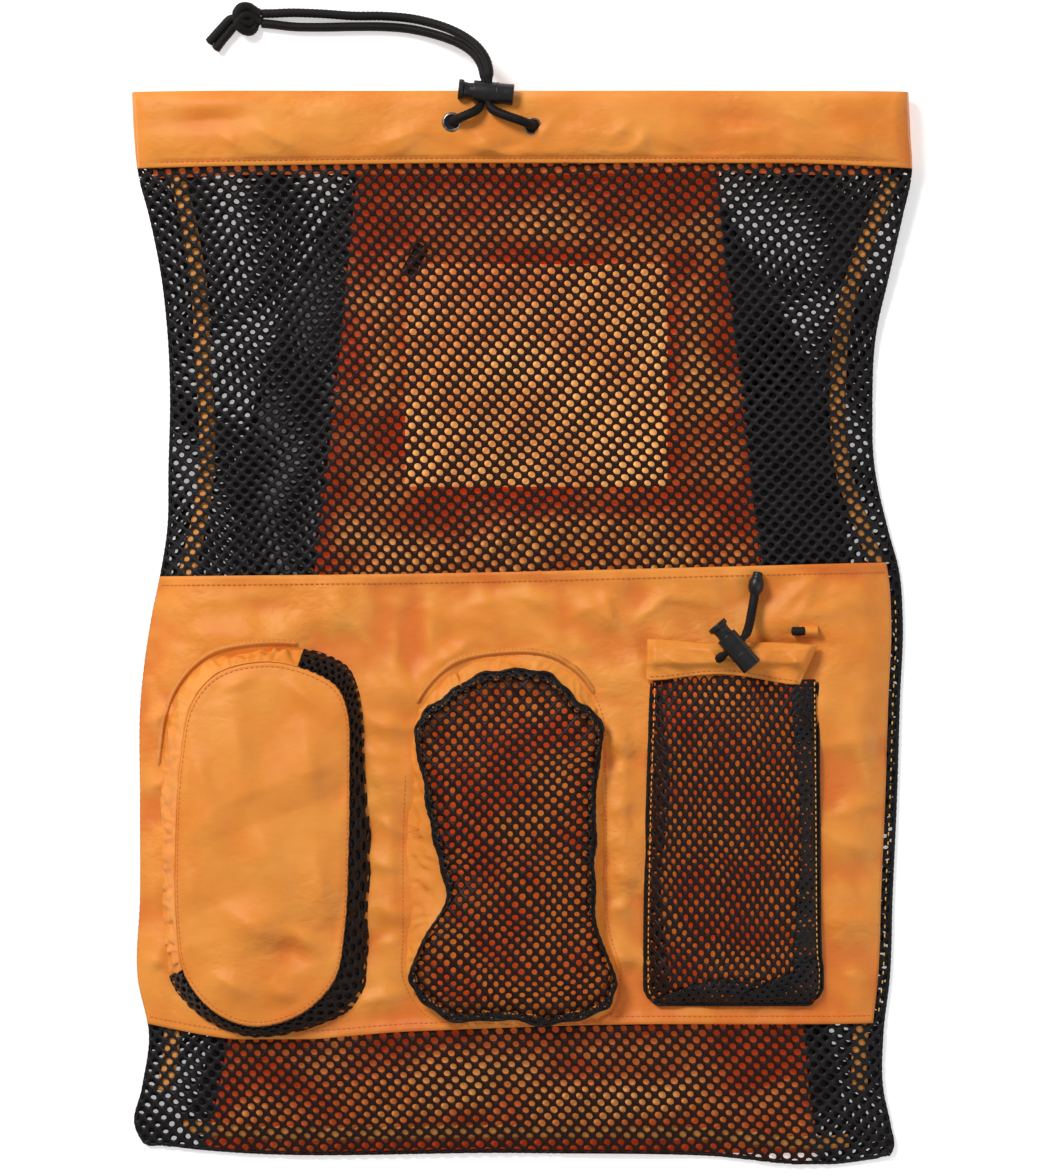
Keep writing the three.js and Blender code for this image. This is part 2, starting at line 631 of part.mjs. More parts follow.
// A point of the ring, at a thickness out from the mouth and a share of the casing's height
function ringPoint(k, out, share) {
  const [px, pz] = ringPath[k];
  const [nx, nz] = ringNormals[k];
  const reach = straightEnd + mouthCorner / 2 + casingOut(share);
  const across = THREE.MathUtils.clamp(((px + nx * out) / reach + 1) / 2, 0, 1);
  const hemY = seamY(bandHem, across);
  const y = THREE.MathUtils.lerp(hemY, halfLength, share);
  return [THREE.MathUtils.lerp(leftEdge(y), rightEdge(y), across), y, pz + nz * out];
}

const outerSection = [
  { up: 0, out: 0 },
  ...casingProfile.map((row) => ({ up: row.up, out: casingOut(row.up) })),
  { up: 0.985, out: 0 },
];
const cavitySection = [
  ...cavityLevels.map((level) => ({ up: level, out: casingOut(level) - nylon })),
  ...[...cavityLevels].reverse().map((level) => ({ up: level, out: nylon })),
];

const ringOf = (section) => ringSolid(ringPath.length, section.length, (k, j) => ringPoint(k, section[j].out, section[j].up));

// Eyelets sit where the two strands leave the casing
const eyeletPlaces = [
  { name: 'eyelet_left', x: -40.6, y: halfLength - eyeletDrop.left },
  { name: 'eyelet_right', x: 6.4, y: halfLength - eyeletDrop.right },
];
function eyeletFace(x) {
  const k = ringPath.findIndex((place) => place[0] > x);
  const [before, after] = [ringPath[k - 1], ringPath[k]];
  return THREE.MathUtils.mapLinear(x, before[0], after[0], before[1], after[1]) + casingFull;
}
const eyeletHole = eyeletBore + 2 * eyeletWall + 2 * seamGap;

function eyeletCut({ x, y }) {
  const tool = new THREE.CylinderGeometry(eyeletHole / 2, eyeletHole / 2, 3 * nylon, 16);
  return tool.rotateX(Math.PI / 2).translate(x, y, eyeletFace(x) - nylon / 2);
}

add('top_band', cut(ringOf(outerSection), ringOf(cavitySection), ...eyeletPlaces.map(eyeletCut)), colours.nylon, 0.5);

function eyelet(x, y) {
  const bore = eyeletBore / 2;
  const wall = bore + eyeletWall;
  const rim = eyeletOuter / 2;
  const under = -nylon - 2 * seamGap;
  const profile = [
    [bore, under - eyeletWasher], [rim - 0.6, under - eyeletWasher], [rim - 0.6, under], [wall, under],
    [wall, seamGap], [rim, seamGap], [rim - 0.5, seamGap + eyeletFlange],
    [bore, seamGap + eyeletFlange], [bore, under - eyeletWasher],
  ];
  return lathe(profile, 16).translate(x, y, eyeletFace(x));
}
for (const place of eyeletPlaces) add(place.name, eyelet(place.x, place.y), colours.metal, 0.3, 0.9);

// The drawcord: its loop inside the casing, its two free strands, and the knot
function hiddenCord() {
  const level = 0.575;
  const sides = 8;
  const radius = cordDiameter / 2 - 0.1;
  const height = halfLength * (1 - bandHem[1].up);
  const clear = eyeletOuter;
  const front = (x) => {
    const k = ringPath.findIndex((place) => place[0] > x);
    return k - 1 + (x - ringPath[k - 1][0]) / (ringPath[k][0] - ringPath[k - 1][0]);
  };
  const first = front(eyeletPlaces[1].x + clear);
  const last = front(eyeletPlaces[0].x - clear) + ringPath.length;
  const stations = [first];
  for (let k = Math.ceil(first); k < last; k += 1) stations.push(k);
  stations.push(last);
  const positions = [];
  const triangles = [];
  for (const station of stations) {
    const k = Math.floor(station);
    for (let j = 0; j < sides; j += 1) {
      const angle = (2 * Math.PI * (j + 0.5)) / sides;
      const out = casingFull / 2 + radius * Math.cos(angle);
      const share = level + (radius * Math.sin(angle)) / height;
      const before = new THREE.Vector3(...ringPoint(k % ringPath.length, out, share));
      const after = new THREE.Vector3(...ringPoint((k + 1) % ringPath.length, out, share));
      positions.push(...before.lerp(after, station - k).toArray());
    }
  }
  const end = (stations.length - 1) * sides;
  for (let i = 0; i < stations.length - 1; i += 1) {
    for (let j = 0; j < sides; j += 1) {
      const k = (j + 1) % sides;
      const [a, b, c, d] = [i * sides + j, (i + 1) * sides + j, (i + 1) * sides + k, i * sides + k];
      triangles.push(a, b, c, a, c, d);
    }
  }
  for (let j = 1; j < sides - 1; j += 1) triangles.push(0, j, j + 1, end, end + j + 1, end + j);
  return indexed(positions, triangles);
}
add('drawcord_in_casing', hiddenCord(), colours.cord, 0.8);

// A strand is squeezed where it passes through the toggle
function strandRadius(lock) {
  const middle = lockHoleCentre(lock);
  const free = lockDiameter / 2 + 4.3;
  const tight = lockDiameter / 2 + 1.3;
  return (point) => {
    const share = smooth((point.distanceTo(middle) - tight) / (free - tight));
    return THREE.MathUtils.lerp(squeezedCord, cordDiameter, share) / 2;
  };
}

function lockAxis({ head, end }) {
  return new THREE.Vector3(...end).sub(new THREE.Vector3(...head)).normalize();
}

function lockHoleCentre(lock) {
  const reach = lockHeadLength + lockNeckGap + lockHoleFromMouth;
  return new THREE.Vector3(...lock.head).addScaledVector(lockAxis(lock), reach);
}

add('drawcord_left', tubeSolid(drawcordLeftRoute, strandRadius(cordLockPlace), 8, 5), colours.cord, 0.8);
add('drawcord_right', tubeSolid(drawcordRightRoute, strandRadius(cordLockPlace), 8, 5), colours.cord, 0.8);

function drawcordKnot() {
  const lump = new THREE.SphereGeometry(1, 12, 8).scale(7.6, 7.0, 5.0).translate(-160.2, 355.0, 5.2);
  const tails = knotTails.map((tail) => tubeSolid(tail, () => cordDiameter / 2, 8, 6));
  return join(lump, ...tails);
}
add('drawcord_knot', drawcordKnot(), colours.cord, 0.8);

// Toggle parts are drawn with their axis along +Z, head first, and the cord's hole along Y
const barrelStart = lockHeadLength + lockNeckGap;
const holeCentre = barrelStart + lockHoleFromMouth;
const boreRadius = lockDiameter / 2 - lockWall;
const rodRadius = boreRadius - slidingGap;

function lockBarrel() {
  const outer = lockDiameter / 2;
  const end = barrelStart + lockBarrelLength;
  const cup = lathe([
    [0, end - lockEndWall], [boreRadius, end - lockEndWall], [boreRadius, barrelStart],
    [outer, barrelStart], [outer, end - 0.8], [outer - 0.8, end], [0, end],
  ], 16);
  return cut(cup, cordHole(lockHoleWidth, 0));
}

// A hole with round ends across the toggle, as long as given along its axis
function cordHole(length, shift) {
  const shape = new THREE.Shape();
  const half = length / 2;
  const radius = Math.min(2.4, half);
  const tall = lockHoleHeight / 2;
  shape.moveTo(-half + radius, -tall);
  shape.lineTo(half - radius, -tall);
  shape.absarc(half - radius, -tall + radius, radius, -Math.PI / 2, 0);
  shape.absarc(half - radius, tall - radius, radius, 0, Math.PI / 2);
  shape.lineTo(-half + radius, tall);
  shape.absarc(-half + radius, tall - radius, radius, Math.PI / 2, Math.PI);
  shape.absarc(-half + radius, -tall + radius, radius, Math.PI, 1.5 * Math.PI);
  const depth = 2 * lockDiameter;
  const tool = new THREE.ExtrudeGeometry(shape, { depth, bevelEnabled: false, curveSegments: 2 });
  return tool.translate(0, 0, -depth / 2).rotateX(Math.PI / 2).rotateY(-Math.PI / 2).translate(0, 0, holeCentre + shift);
}

function lockPlunger() {
  const eyeEnd = holeCentre + lockHoleWidth / 2;
  const eyeLength = lockHoleWidth + lockTravel;
  const head = lockHeadDiameter / 2;
  const rod = lathe([
    [0, 0], [head - 0.8, 0], [head, 0.8], [head, lockFlange], [head - 1.2, lockFlange + 0.5],
    [head - 1.2, lockHeadLength], [rodRadius, lockHeadLength], [rodRadius, eyeEnd + plungerTip],
    [0, eyeEnd + plungerTip],
  ], 16);
  return cut(rod, cordHole(eyeLength, -lockTravel / 2));
}

function placeLock(geometry, lock) {
  const axis = lockAxis(lock);
  const across = new THREE.Vector3().crossVectors(axis, up);
  const frame = new THREE.Matrix4().makeBasis(up, across, axis);
  return geometry.applyMatrix4(frame.setPosition(...lock.head));
}

for (const [name, lock] of [['cord_lock', cordLockPlace], ['pocket_lock', pocketLockPlace]]) {
  add(`${name}_barrel`, placeLock(lockBarrel(), lock), colours.plastic, 0.45);
  add(`${name}_plunger`, placeLock(lockPlunger(), lock), colours.plastic, 0.45);
}

// Pocket outlines: a closed curve through the rows of a table, evenly divided
function outlineOf(pocket, rows, across, upward) {
  const points = [...rows].reverse().map((row) => new THREE.Vector3(
    pocket.x + row[across] * pocket.width,
    pocket.y + row[upward] * pocket.length,
    0,
  ));
  return (share) => {
    const curve = new THREE.CatmullRomCurve3(points, true, 'centripetal');
    return curve.getPoint(share);
  };
}

// Rise of a ribbon of cloth from a pocket's foot on the panel to the edge of its face
function pocketWall(pocket, rows, start, end, steps, levels, thickness, ripple, isGap) {
  const foot = outlineOf(pocket, rows, 'footAcross', 'footUp');
  const face = outlineOf(pocket, rows, 'faceAcross', 'faceUp');
  const wraps = end - start >= 1;
  const point = (i, j, side) => {
    const share = (start + ((end - start) * i) / steps) % 1;
    const level = levels[j];
    const low = foot(share);
    const high = face(share);
    const centre = new THREE.Vector3(pocket.x, pocket.y, 0);
    const spot = low.clone().lerp(high, level);
    const inward = centre.sub(spot).normalize();
    const depth = side === 'outer' ? 0 : thickness;
    const foot3 = low.addScaledVector(inward, depth);
    const base = panelTop(foot3.x, foot3.y) + layGap;
    const top = panelTop(high.x, high.y) + pocket.rise;
    const swell = ripple * Math.sin(Math.PI * level) * Math.cos(Math.PI * i);
    spot.addScaledVector(inward, swell + depth);
    return [spot.x, spot.y, THREE.MathUtils.lerp(base, top, level)];
  };
  return skinSolid({ columns: steps, rows: levels.length - 1, point, wraps, isGap });
}

// The domed face of a pocket, seamGap above the wall's edge
function pocketFace(pocket, rows, steps, rings, thickness, ripple, isGap) {
  const face = outlineOf(pocket, rows, 'faceAcross', 'faceUp');
  const height = (x, y, ring) => {
    const dome = pocket.dome * (1 - ring * ring);
    return panelTop(x, y) + pocket.rise + seamGap + dome;
  };
  const centreZ = height(pocket.x, pocket.y, 0);
  const point = (i, j, side) => {
    const ring = rings[j];
    const edge = face(i / steps);
    const x = THREE.MathUtils.lerp(pocket.x, edge.x, ring);
    const y = THREE.MathUtils.lerp(pocket.y, edge.y, ring);
    const gather = ripple * ring * Math.cos(Math.PI * i);
    return [x, y, height(x, y, ring) + Math.max(0, gather) + (side === 'outer' ? thickness : 0)];
  };
  const apex = (side) => [pocket.x, pocket.y, centreZ + (side === 'outer' ? thickness : 0)];
  return skinSolid({ columns: steps, rows: rings.length - 1, point, wraps: true, isGap, apex });
}

// Left pocket: counter-clockwise shares of its outline, nylon over the top and left, net round the rest
const leftNylonFrom = 0.94;
const leftNylonTo = 1.37;
add('left_pocket_face', pocketFace(leftPocket, leftPocketRim, 34, [1, 0.6], nylon, 0), colours.nylon, 0.45);
add('left_pocket_side', pocketWall(
  leftPocket, leftPocketRim, leftNylonFrom, leftNylonTo, 16, [0, 0.5, 1], nylon, 0.5,
), colours.nylon, 0.5);
add('left_pocket_net', pocketWall(
  leftPocket, leftPocketRim, leftNylonTo + 0.004, leftNylonFrom + 0.996, 19, [0, 0.25, 0.75, 1], knit, 0,
  (i, j) => j === 1 && i % 3 === 1,
), colours.knit, 0.75);

// A zip lies along a pocket's foot, outside the wall
function zip(pocket, rows, start, end, steps, drift) {
  const foot = outlineOf(pocket, rows, 'footAcross', 'footUp');
  return skinSolid({
    columns: steps,
    rows: 1,
    point: (i, j, side) => {
      const spot = foot((start + ((end - start) * i) / steps) % 1);
      const outward = spot.clone().sub(new THREE.Vector3(pocket.x, pocket.y, 0)).normalize();
      spot.addScaledVector(outward, drift + zipWidth * (1 - j));
      return [spot.x, spot.y, panelTop(spot.x, spot.y) + layGap + (side === 'outer' ? zipHeight : 0)];
    },
  });
}
add('left_pocket_zip', zip(leftPocket, leftPocketRim, 0.99, 1.24, 18, 0.5), colours.nylonShade, 0.4);

// Middle pocket: nylon rim with a zip over its top, and a gathered net bag
add('middle_pocket_rim', pocketWall(
  middlePocket, middlePocketRim, 0, 1, 36, [0, 1], nylon, 0,
), colours.nylon, 0.5);
add('middle_pocket_net', pocketFace(
  middlePocket, middlePocketRim, 36, [1, 0.8, 0.55, 0.3], knit, 1.2,
  (i, j) => (j === 0 || j === 1) && i % 4 === 2 * j,
), colours.knit, 0.75);
add('middle_pocket_zip', zip(middlePocket, middlePocketRim, 0.84, 1.12, 16, 0.5), colours.nylonShade, 0.4);

// Right pocket: a net bag that is open at its top, under a short casing of its own
const sleeveTopHalf = rightPocket.width / 2;
const sleeveFootHalf = rightPocket.width * 0.4;
const sleeveArch = (share) => -5 * THREE.MathUtils.clamp(2 * share - 1, -1, 1) ** 2;
const rightSide = (column) => (y) => {
  const share = (y - rightPocket.bottom) / (rightPocket.top - rightPocket.bottom);
  return rightPocket.x + rightPocket.width * reading(rightPocketSides, 'up', column, share);
};
function rightPocketRise(x, y) {
  const side = Math.min(x - rightSide('left')(y), rightSide('right')(y) - x);
  const footShare = (y - rightPocket.bottom) / rightPocketEase;
  const belly = rightPocket.belly * smooth((rightPocket.top - y) / bellyReach);
  return (rightPocket.rise + belly) * filling(side / rightPocketEase) * filling(footShare);
}
add('right_pocket_net', clothLayer({
  low: () => rightPocket.bottom,
  high: (u) => rightPocket.top - edgeGap + sleeveArch(0.5 + (u - 0.5) * (rightPocket.width / (2 * sleeveFootHalf))),
  left: rightSide('left'),
  right: rightSide('right'),
  across: latticeLines(2, [0.06, 0.14]),
  along: latticeLines(4, [0.04, 0.1]),
  under: (x, y) => panelTop(x, y) + seamGap + rightPocketRise(x, y),
  thickness: knit,
  holes: { rim: 2, rowRim: 2 },
}), colours.knit, 0.75);

// Its casing: a folded sleeve, wider at the top, with a hole for the cord
const sleeveTop = rightPocket.top + rightPocket.band;
function sleevePoint(share, out, level) {
  const half = THREE.MathUtils.lerp(sleeveFootHalf, sleeveTopHalf, level);
  const x = rightPocket.x + half * (2 * share - 1);
  const foot = rightPocket.top + sleeveArch(share);
  const y = THREE.MathUtils.lerp(foot, sleeveTop - 1.5 * share, level);
  return [x, y, panelTop(rightPocket.x, rightPocket.top) + seamGap + rightPocket.rise + out];
}
function sleeve(section, start, end, steps) {
  const corners = section.length;
  const positions = [];
  const triangles = [];
  for (let i = 0; i <= steps; i += 1) {
    const share = THREE.MathUtils.lerp(start, end, i / steps);
    for (const { out, up: level } of section) positions.push(...sleevePoint(share, out, level));
  }
  for (let i = 0; i < steps; i += 1) {
    for (let j = 0; j < corners; j += 1) {
      const k = (j + 1) % corners;
      const [a, b, c, d] = [i * corners + j, (i + 1) * corners + j, (i + 1) * corners + k, i * corners + k];
      triangles.push(a, b, c, a, c, d);
    }
  }
  const last = steps * corners;
  for (let j = 1; j < corners - 1; j += 1) triangles.push(0, j, j + 1, last, last + j + 1, last + j);
  return indexed(positions, triangles);
}
const sleeveBody = sleeve(outerSection, 0, 1, 8);
const sleeveRoom = sleeve(cavitySection, -0.02, 1.02, 8);
const cordStart = [pocketCordRoute[0][0], pocketCordRoute[0][1], pocketCordRoute[0][2] - 1.5];
const cordExit = tubeSolid([cordStart, ...pocketCordRoute.slice(0, 4)], () => cordDiameter / 2 + 0.4, 10, 3);
add('right_pocket_band', cut(sleeveBody, sleeveRoom, cordExit), colours.nylon, 0.5);

add('pocket_cord', tubeSolid(pocketCordRoute, () => cordDiameter / 2, 8, 4), colours.cord, 0.8);

function pocketBead() {
  const bead = lathe([
    [0, 0], [3.4, 0], [3.6, 0.8], [4.3, 2.4], [4.5, 4.4], [4.2, 6.4], [3.2, 8.0], [3.0, 8.6], [3.0, 11.4], [2.6, 12], [0, 12],
  ], 16);
  const start = new THREE.Vector3(...pocketCordRoute[pocketCordRoute.length - 1]);
  const before = new THREE.Vector3(...pocketCordRoute[pocketCordRoute.length - 2]);
  const axis = start.clone().sub(before).setZ(0).normalize();
  const turn = new THREE.Quaternion().setFromUnitVectors(up, axis);
  const place = start.addScaledVector(axis, seamGap + 0.4);
  return bead.applyQuaternion(turn).translate(place.x, place.y, place.z);
}
add('pocket_bead', pocketBead(), colours.plastic, 0.4);

// The folded tab at the casing's right end, and the end of the cord that is sewn into it
function pocketTab() {
  const shape = new THREE.Shape();
  shape.moveTo(-5.5, -3.4);
  shape.lineTo(5.5, -3.8);
  shape.lineTo(5.5, 3.8);
  shape.lineTo(-5.5, 3.4);
  const hole = new THREE.Path();
  hole.absarc(0, 0, 2.6, 0, 2 * Math.PI);
  const body = new THREE.ExtrudeGeometry(shape, { depth: 6.6, bevelEnabled: false });
  return body.translate(165.6, -1.2, panelTop(165, 0) + seamGap);
}
add('right_pocket_tab', pocketTab(), colours.nylon, 0.5);
add('pocket_cord_end', lathe([[0, 0], [2.6, 0], [2.6, 3.2], [0, 3.2]], 12)
  .rotateY(Math.PI / 2)
  .translate(156.6, -1.2, panelTop(160, 0) + seamGap + 3.3), colours.cord, 0.8);

// Shoulder straps, their ladder locks and webbing, behind the bag
const strapTopY = 252;
const strapLine = [
  { up: 0.81, left: -0.34, right: 0.4 },
  { up: 0.4, left: -0.55, right: 0.66 },
  { up: 0.12, left: -0.6, right: 0.69 },
  { up: -0.2, left: -0.58, right: 0.64 },
  { up: -0.9, left: -0.8, right: 0.78 },
];
const strapX = (side, y) => halfWidth * reading(strapLine, 'up', side, y / halfLength);

function shoulderStrap(side) {
  const rows = 12;
  const columns = 4;
  return skinSolid({
    columns,
    rows,
    point: (i, j, skin) => {
      const y = THREE.MathUtils.lerp(strapEndY, strapTopY, j / rows);
      const taper = THREE.MathUtils.lerp(0.55, 1, smooth(j / 3));
      const edge = Math.abs(i - columns / 2) === columns / 2;
      const top = edge ? 0.7 * strapThickness : strapThickness;
      return [strapX(side, y) + strapWidth * taper * (i / columns - 0.5), y, skin === 'outer' ? top : 0];
    },
  });
}

function ladderLock(side) {
  const shape = new THREE.Shape();
  const halfW = ladderWidth / 2;
  const middle = strapX(side, strapEndY - ladderLength / 2);
  shape.moveTo(-halfW, -ladderLength);
  shape.lineTo(halfW, -ladderLength);
  shape.lineTo(halfW, 0);
  shape.lineTo(-halfW, 0);
  for (const share of [0.3, 0.68]) {
    const slot = new THREE.Path();
    const y = -ladderLength * share;
    slot.moveTo(-webWidth / 2, y - 2.5);
    slot.lineTo(-webWidth / 2, y + 2.5);
    slot.lineTo(webWidth / 2, y + 2.5);
    slot.lineTo(webWidth / 2, y - 2.5);
    shape.holes.push(slot);
  }
  const body = new THREE.ExtrudeGeometry(shape, { depth: ladderThickness, bevelEnabled: false });
  return body.translate(middle, strapEndY - seamGap, 0.1);
}

function strapWeb(side) {
  const rows = 8;
  const startY = strapEndY - ladderLength - 2 * seamGap;
  const endY = -halfLength * 0.9;
  return skinSolid({
    columns: 1,
    rows,
    point: (i, j, skin) => {
      const y = THREE.MathUtils.lerp(endY, startY, j / rows);
      return [strapX(side, y) + webWidth * (i - 0.5), y, skin === 'outer' ? webThickness : 0];
    },
  });
}

for (const side of ['left', 'right']) {
  add(`shoulder_strap_${side}`, shoulderStrap(side), colours.knit, 0.8);
  add(`ladder_lock_${side}`, ladderLock(side), colours.plastic, 0.45);
  add(`strap_web_${side}`, strapWeb(side), colours.cord, 0.7);
}

export default model;
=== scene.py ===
# %% [markdown]
# This lesson dresses a swimmer's mesh backpack that lies flat on a pale table, seen from straight above.
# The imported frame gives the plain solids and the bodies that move. Everything here is in metres in that
# frame, with +Y towards the mouth of the bag and +Z up out of its front. Sizes of cloth are easier to read
# in millimetres, so the helpers below take millimetres and turn them into metres when a mesh is made.

# %% load the frame
import json
import math

import bmesh

import bpy
import numpy as np
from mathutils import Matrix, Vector

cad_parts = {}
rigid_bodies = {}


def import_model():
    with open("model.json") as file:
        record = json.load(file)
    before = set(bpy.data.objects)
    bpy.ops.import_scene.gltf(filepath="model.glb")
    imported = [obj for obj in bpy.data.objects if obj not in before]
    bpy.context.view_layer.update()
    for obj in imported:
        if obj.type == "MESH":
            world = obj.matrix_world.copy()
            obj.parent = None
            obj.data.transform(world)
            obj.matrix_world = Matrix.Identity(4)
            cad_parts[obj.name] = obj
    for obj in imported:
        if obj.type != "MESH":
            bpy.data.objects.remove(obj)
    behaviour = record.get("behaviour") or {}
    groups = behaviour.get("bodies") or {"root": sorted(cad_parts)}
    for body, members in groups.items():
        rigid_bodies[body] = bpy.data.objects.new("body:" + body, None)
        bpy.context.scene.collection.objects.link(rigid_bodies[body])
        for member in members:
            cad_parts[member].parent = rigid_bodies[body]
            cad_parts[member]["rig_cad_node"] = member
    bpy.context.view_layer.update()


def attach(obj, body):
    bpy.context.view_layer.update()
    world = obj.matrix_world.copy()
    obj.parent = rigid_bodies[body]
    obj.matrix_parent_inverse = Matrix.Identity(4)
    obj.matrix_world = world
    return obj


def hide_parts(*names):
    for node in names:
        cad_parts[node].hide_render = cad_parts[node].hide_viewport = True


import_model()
MM = 0.001

# %% [markdown]
# The camera hangs straight above the bag, as the photograph's did. A long lens three metres up keeps the
# view nearly flat, so the edges of the bag show no perspective. The picture is 682 mm tall at the bag.

# %% camera
camera_data = bpy.data.cameras.new("camera_above")
camera_data.sensor_fit = "VERTICAL"
SENSOR_HEIGHT, CAMERA_AWAY, PICTURE_HEIGHT = 24.0, 3000.0, 682.0
camera_data.sensor_height = SENSOR_HEIGHT
camera_data.lens = SENSOR_HEIGHT * CAMERA_AWAY / PICTURE_HEIGHT
camera = bpy.data.objects.new("camera_above", camera_data)
camera.location = (0.0, 0.0238, 3.012)
bpy.context.scene.collection.objects.link(camera)
bpy.context.scene.camera = camera
print("lens", round(camera_data.lens, 1), "mm")

# %% [markdown]
# The table is a plain white sheet that glows a little, like the lit tables on which small goods are
# photographed, so it stays white under the bag's open net. The light is soft but has a side: a large soft
# box on the upper left models the folds of the nylon, and the white room and a weaker box fill them.

# %% table and lights
table_data = bpy.data.meshes.new("table")
table_data.from_pydata([(-3, -3, 0), (3, -3, 0), (3, 3, 0), (-3, 3, 0)], [], [(0, 1, 2, 3)])
table = bpy.data.objects.new("table", table_data)
table.location.z = -0.0006
bpy.context.scene.collection.objects.link(table)

world = bpy.data.worlds.new("room")
world.use_nodes = True
world.node_tree.nodes["Background"].inputs["Color"].default_value = (1.0, 1.0, 1.0, 1.0)
world.node_tree.nodes["Background"].inputs["Strength"].default_value = 0.34
bpy.context.scene.world = world


def soft_box(name, place, aim, size, power):
    light = bpy.data.lights.new(name, "AREA")
    light.shape = "RECTANGLE"
    light.size, light.size_y = size
    light.energy = power
    holder = bpy.data.objects.new(name, light)
    holder.location = place
    holder.rotation_euler = (Vector(aim) - Vector(place)).to_track_quat("-Z", "Y").to_euler()
    bpy.context.scene.collection.objects.link(holder)
    return holder


soft_box("key_box", (-1.8, 2.1, 2.6), (0, 0.03, 0), (1.1, 1.1), 112)
soft_box("fill_box", (2.0, -1.0, 2.3), (0, 0, 0), (2.0, 2.0), 19)
bpy.context.scene.view_settings.view_transform = "Standard"
print("lights ready")

# %% [markdown]
# A seam or an edge is a short table of places along the bag. Between its rows a smooth curve runs through
# the values, because cloth turns softly where a drawing made of straight steps would show corners.

# %% curves through tables
HALF_WIDTH, HALF_LENGTH = 226.5, 311.5


def curve_of(keys, values):
    keys, values = np.array(keys, float), np.array(values, float)
    order = np.argsort(keys)
    keys, values = keys[order], values[order]
    slopes = np.gradient(values, keys)

    def read(at):
        at = np.clip(at, keys[0], keys[-1])
        k = np.clip(np.searchsorted(keys, at) - 1, 0, len(keys) - 2)
        run = keys[k + 1] - keys[k]
        t = (at - keys[k]) / run
        start = (1 + 2 * t) * (1 - t) ** 2 * values[k] + t * (1 - t) ** 2 * run * slopes[k]
        end = t * t * (3 - 2 * t) * values[k + 1] + t * t * (t - 1) * run * slopes[k + 1]
        return np.clip(start + end, values.min(), values.max())

    return read


SILHOUETTE = np.array([
    (1.0, 1.0, 0.991), (0.92, 0.995, 0.996), (0.855, 0.986, 1.0), (0.77, 0.956, 0.976),
    (0.66, 0.926, 0.942), (0.55, 0.91, 0.909), (0.43, 0.904, 0.9), (0.3, 0.908, 0.906),
    (0.18, 0.912, 0.942), (0.11, 0.927, 0.968), (0.02, 0.952, 0.978), (-0.13, 0.979, 0.971),
    (-0.32, 0.981, 0.963), (-0.5, 0.981, 0.952), (-0.65, 0.987, 0.945), (-0.76, 0.958, 0.928),
    (-0.86, 0.977, 0.928), (-0.93, 0.994, 0.948), (-0.97, 0.962, 0.955), (-1.0, 0.92, 0.93),
])
left_share = curve_of(SILHOUETTE[:, 0], SILHOUETTE[:, 1])
right_share = curve_of(SILHOUETTE[:, 0], SILHOUETTE[:, 2])
bottom_share = curve_of([0, 0.06, 0.5, 0.75, 0.92, 1], [-0.962, -0.972, -0.979, -0.984, -1.0, -0.985])
foot_share = curve_of([0, 0.12, 0.37, 0.6, 1], [-0.737, -0.763, -0.748, -0.737, -0.735])
head_share = curve_of([0, 0.4, 0.8, 1], [0.098, 0.104, 0.117, 0.124])
hem_share = curve_of([0, 0.4, 0.85, 1], [0.858, 0.866, 0.866, 0.858])
back_left_share = curve_of([0.87, 0.1, -1.0], [-0.428, -0.543, -0.825])
back_right_share = curve_of([0.87, 0.1, -1.0], [0.502, 0.622, 0.763])


def left_edge(y):
    return -HALF_WIDTH * left_share(y / HALF_LENGTH)


def right_edge(y):
    return HALF_WIDTH * right_share(y / HALF_LENGTH)


def across_at(x, y):
    return (x - left_edge(y)) / (right_edge(y) - left_edge(y))


def seam_at(share, x, y):
    return HALF_LENGTH * share(across_at(x, y))


print("the bag is", 2 * HALF_WIDTH, "by", 2 * HALF_LENGTH, "mm flat")

# %% [markdown]
# The bag lies in layers. Its back rests on the padded straps, so it is lifted in the middle and touches
# the table at its edges. Its front lies slack above it. These heights are the same sums as in the solids.
# Two kinds of unrest come on top, both from seeded grids of numbers: soft swells, and crumples, whose
# flat facets meet in straight creases as thin coated nylon does when it has been packed.

# %% heights of the layers
def smooth(t):
    t = np.clip(t, 0, 1)
    return t * t * (3 - 2 * t)


def filling(t):
    return 1 - (1 - np.clip(t, 0, 1)) ** 2


def side_distance(x, y):
    return np.minimum(x - left_edge(y), right_edge(y) - x)


def foot_distance(x, y):
    return y - seam_at(bottom_share, x, y)


def back_under(x, y):
    lift = 2.2 + 4.3 * smooth((y + 235) / 165)
    held = smooth((seam_at(hem_share, x, y) - y) / 140)
    sides = 1 - (1 - smooth(side_distance(x, y) / 24)) * held
    return lift * sides * smooth(foot_distance(x, y) / 24)


def back_top(x, y):
    return back_under(x, y) + 1.2


def front_under(x, y):
    fill = filling(side_distance(x, y) / 60) * filling(foot_distance(x, y) / 60)
    turn = 2 * np.pi / 155
    wave = 0.7 * np.sin(turn * (x + 0.4 * y)) * np.cos(turn * 0.7 * (y - 0.3 * x))
    return back_top(x, y) + 0.5 + (7.4 + wave) * fill


def cloth_noise(seed, size):
    grid = np.random.RandomState(seed).uniform(-1, 1, (64, 64))

    def read(x, y):
        u, v = np.asarray(x) / size + 31.5, np.asarray(y) / size + 31.5
        i, j = np.floor(u).astype(int), np.floor(v).astype(int)
        a, b = smooth(u - i), smooth(v - j)
        i, j = i % 63, j % 63
        low = grid[i, j] * (1 - a) + grid[i + 1, j] * a
        high = grid[i, j + 1] * (1 - a) + grid[i + 1, j + 1] * a
        return low * (1 - b) + high * b

    return read


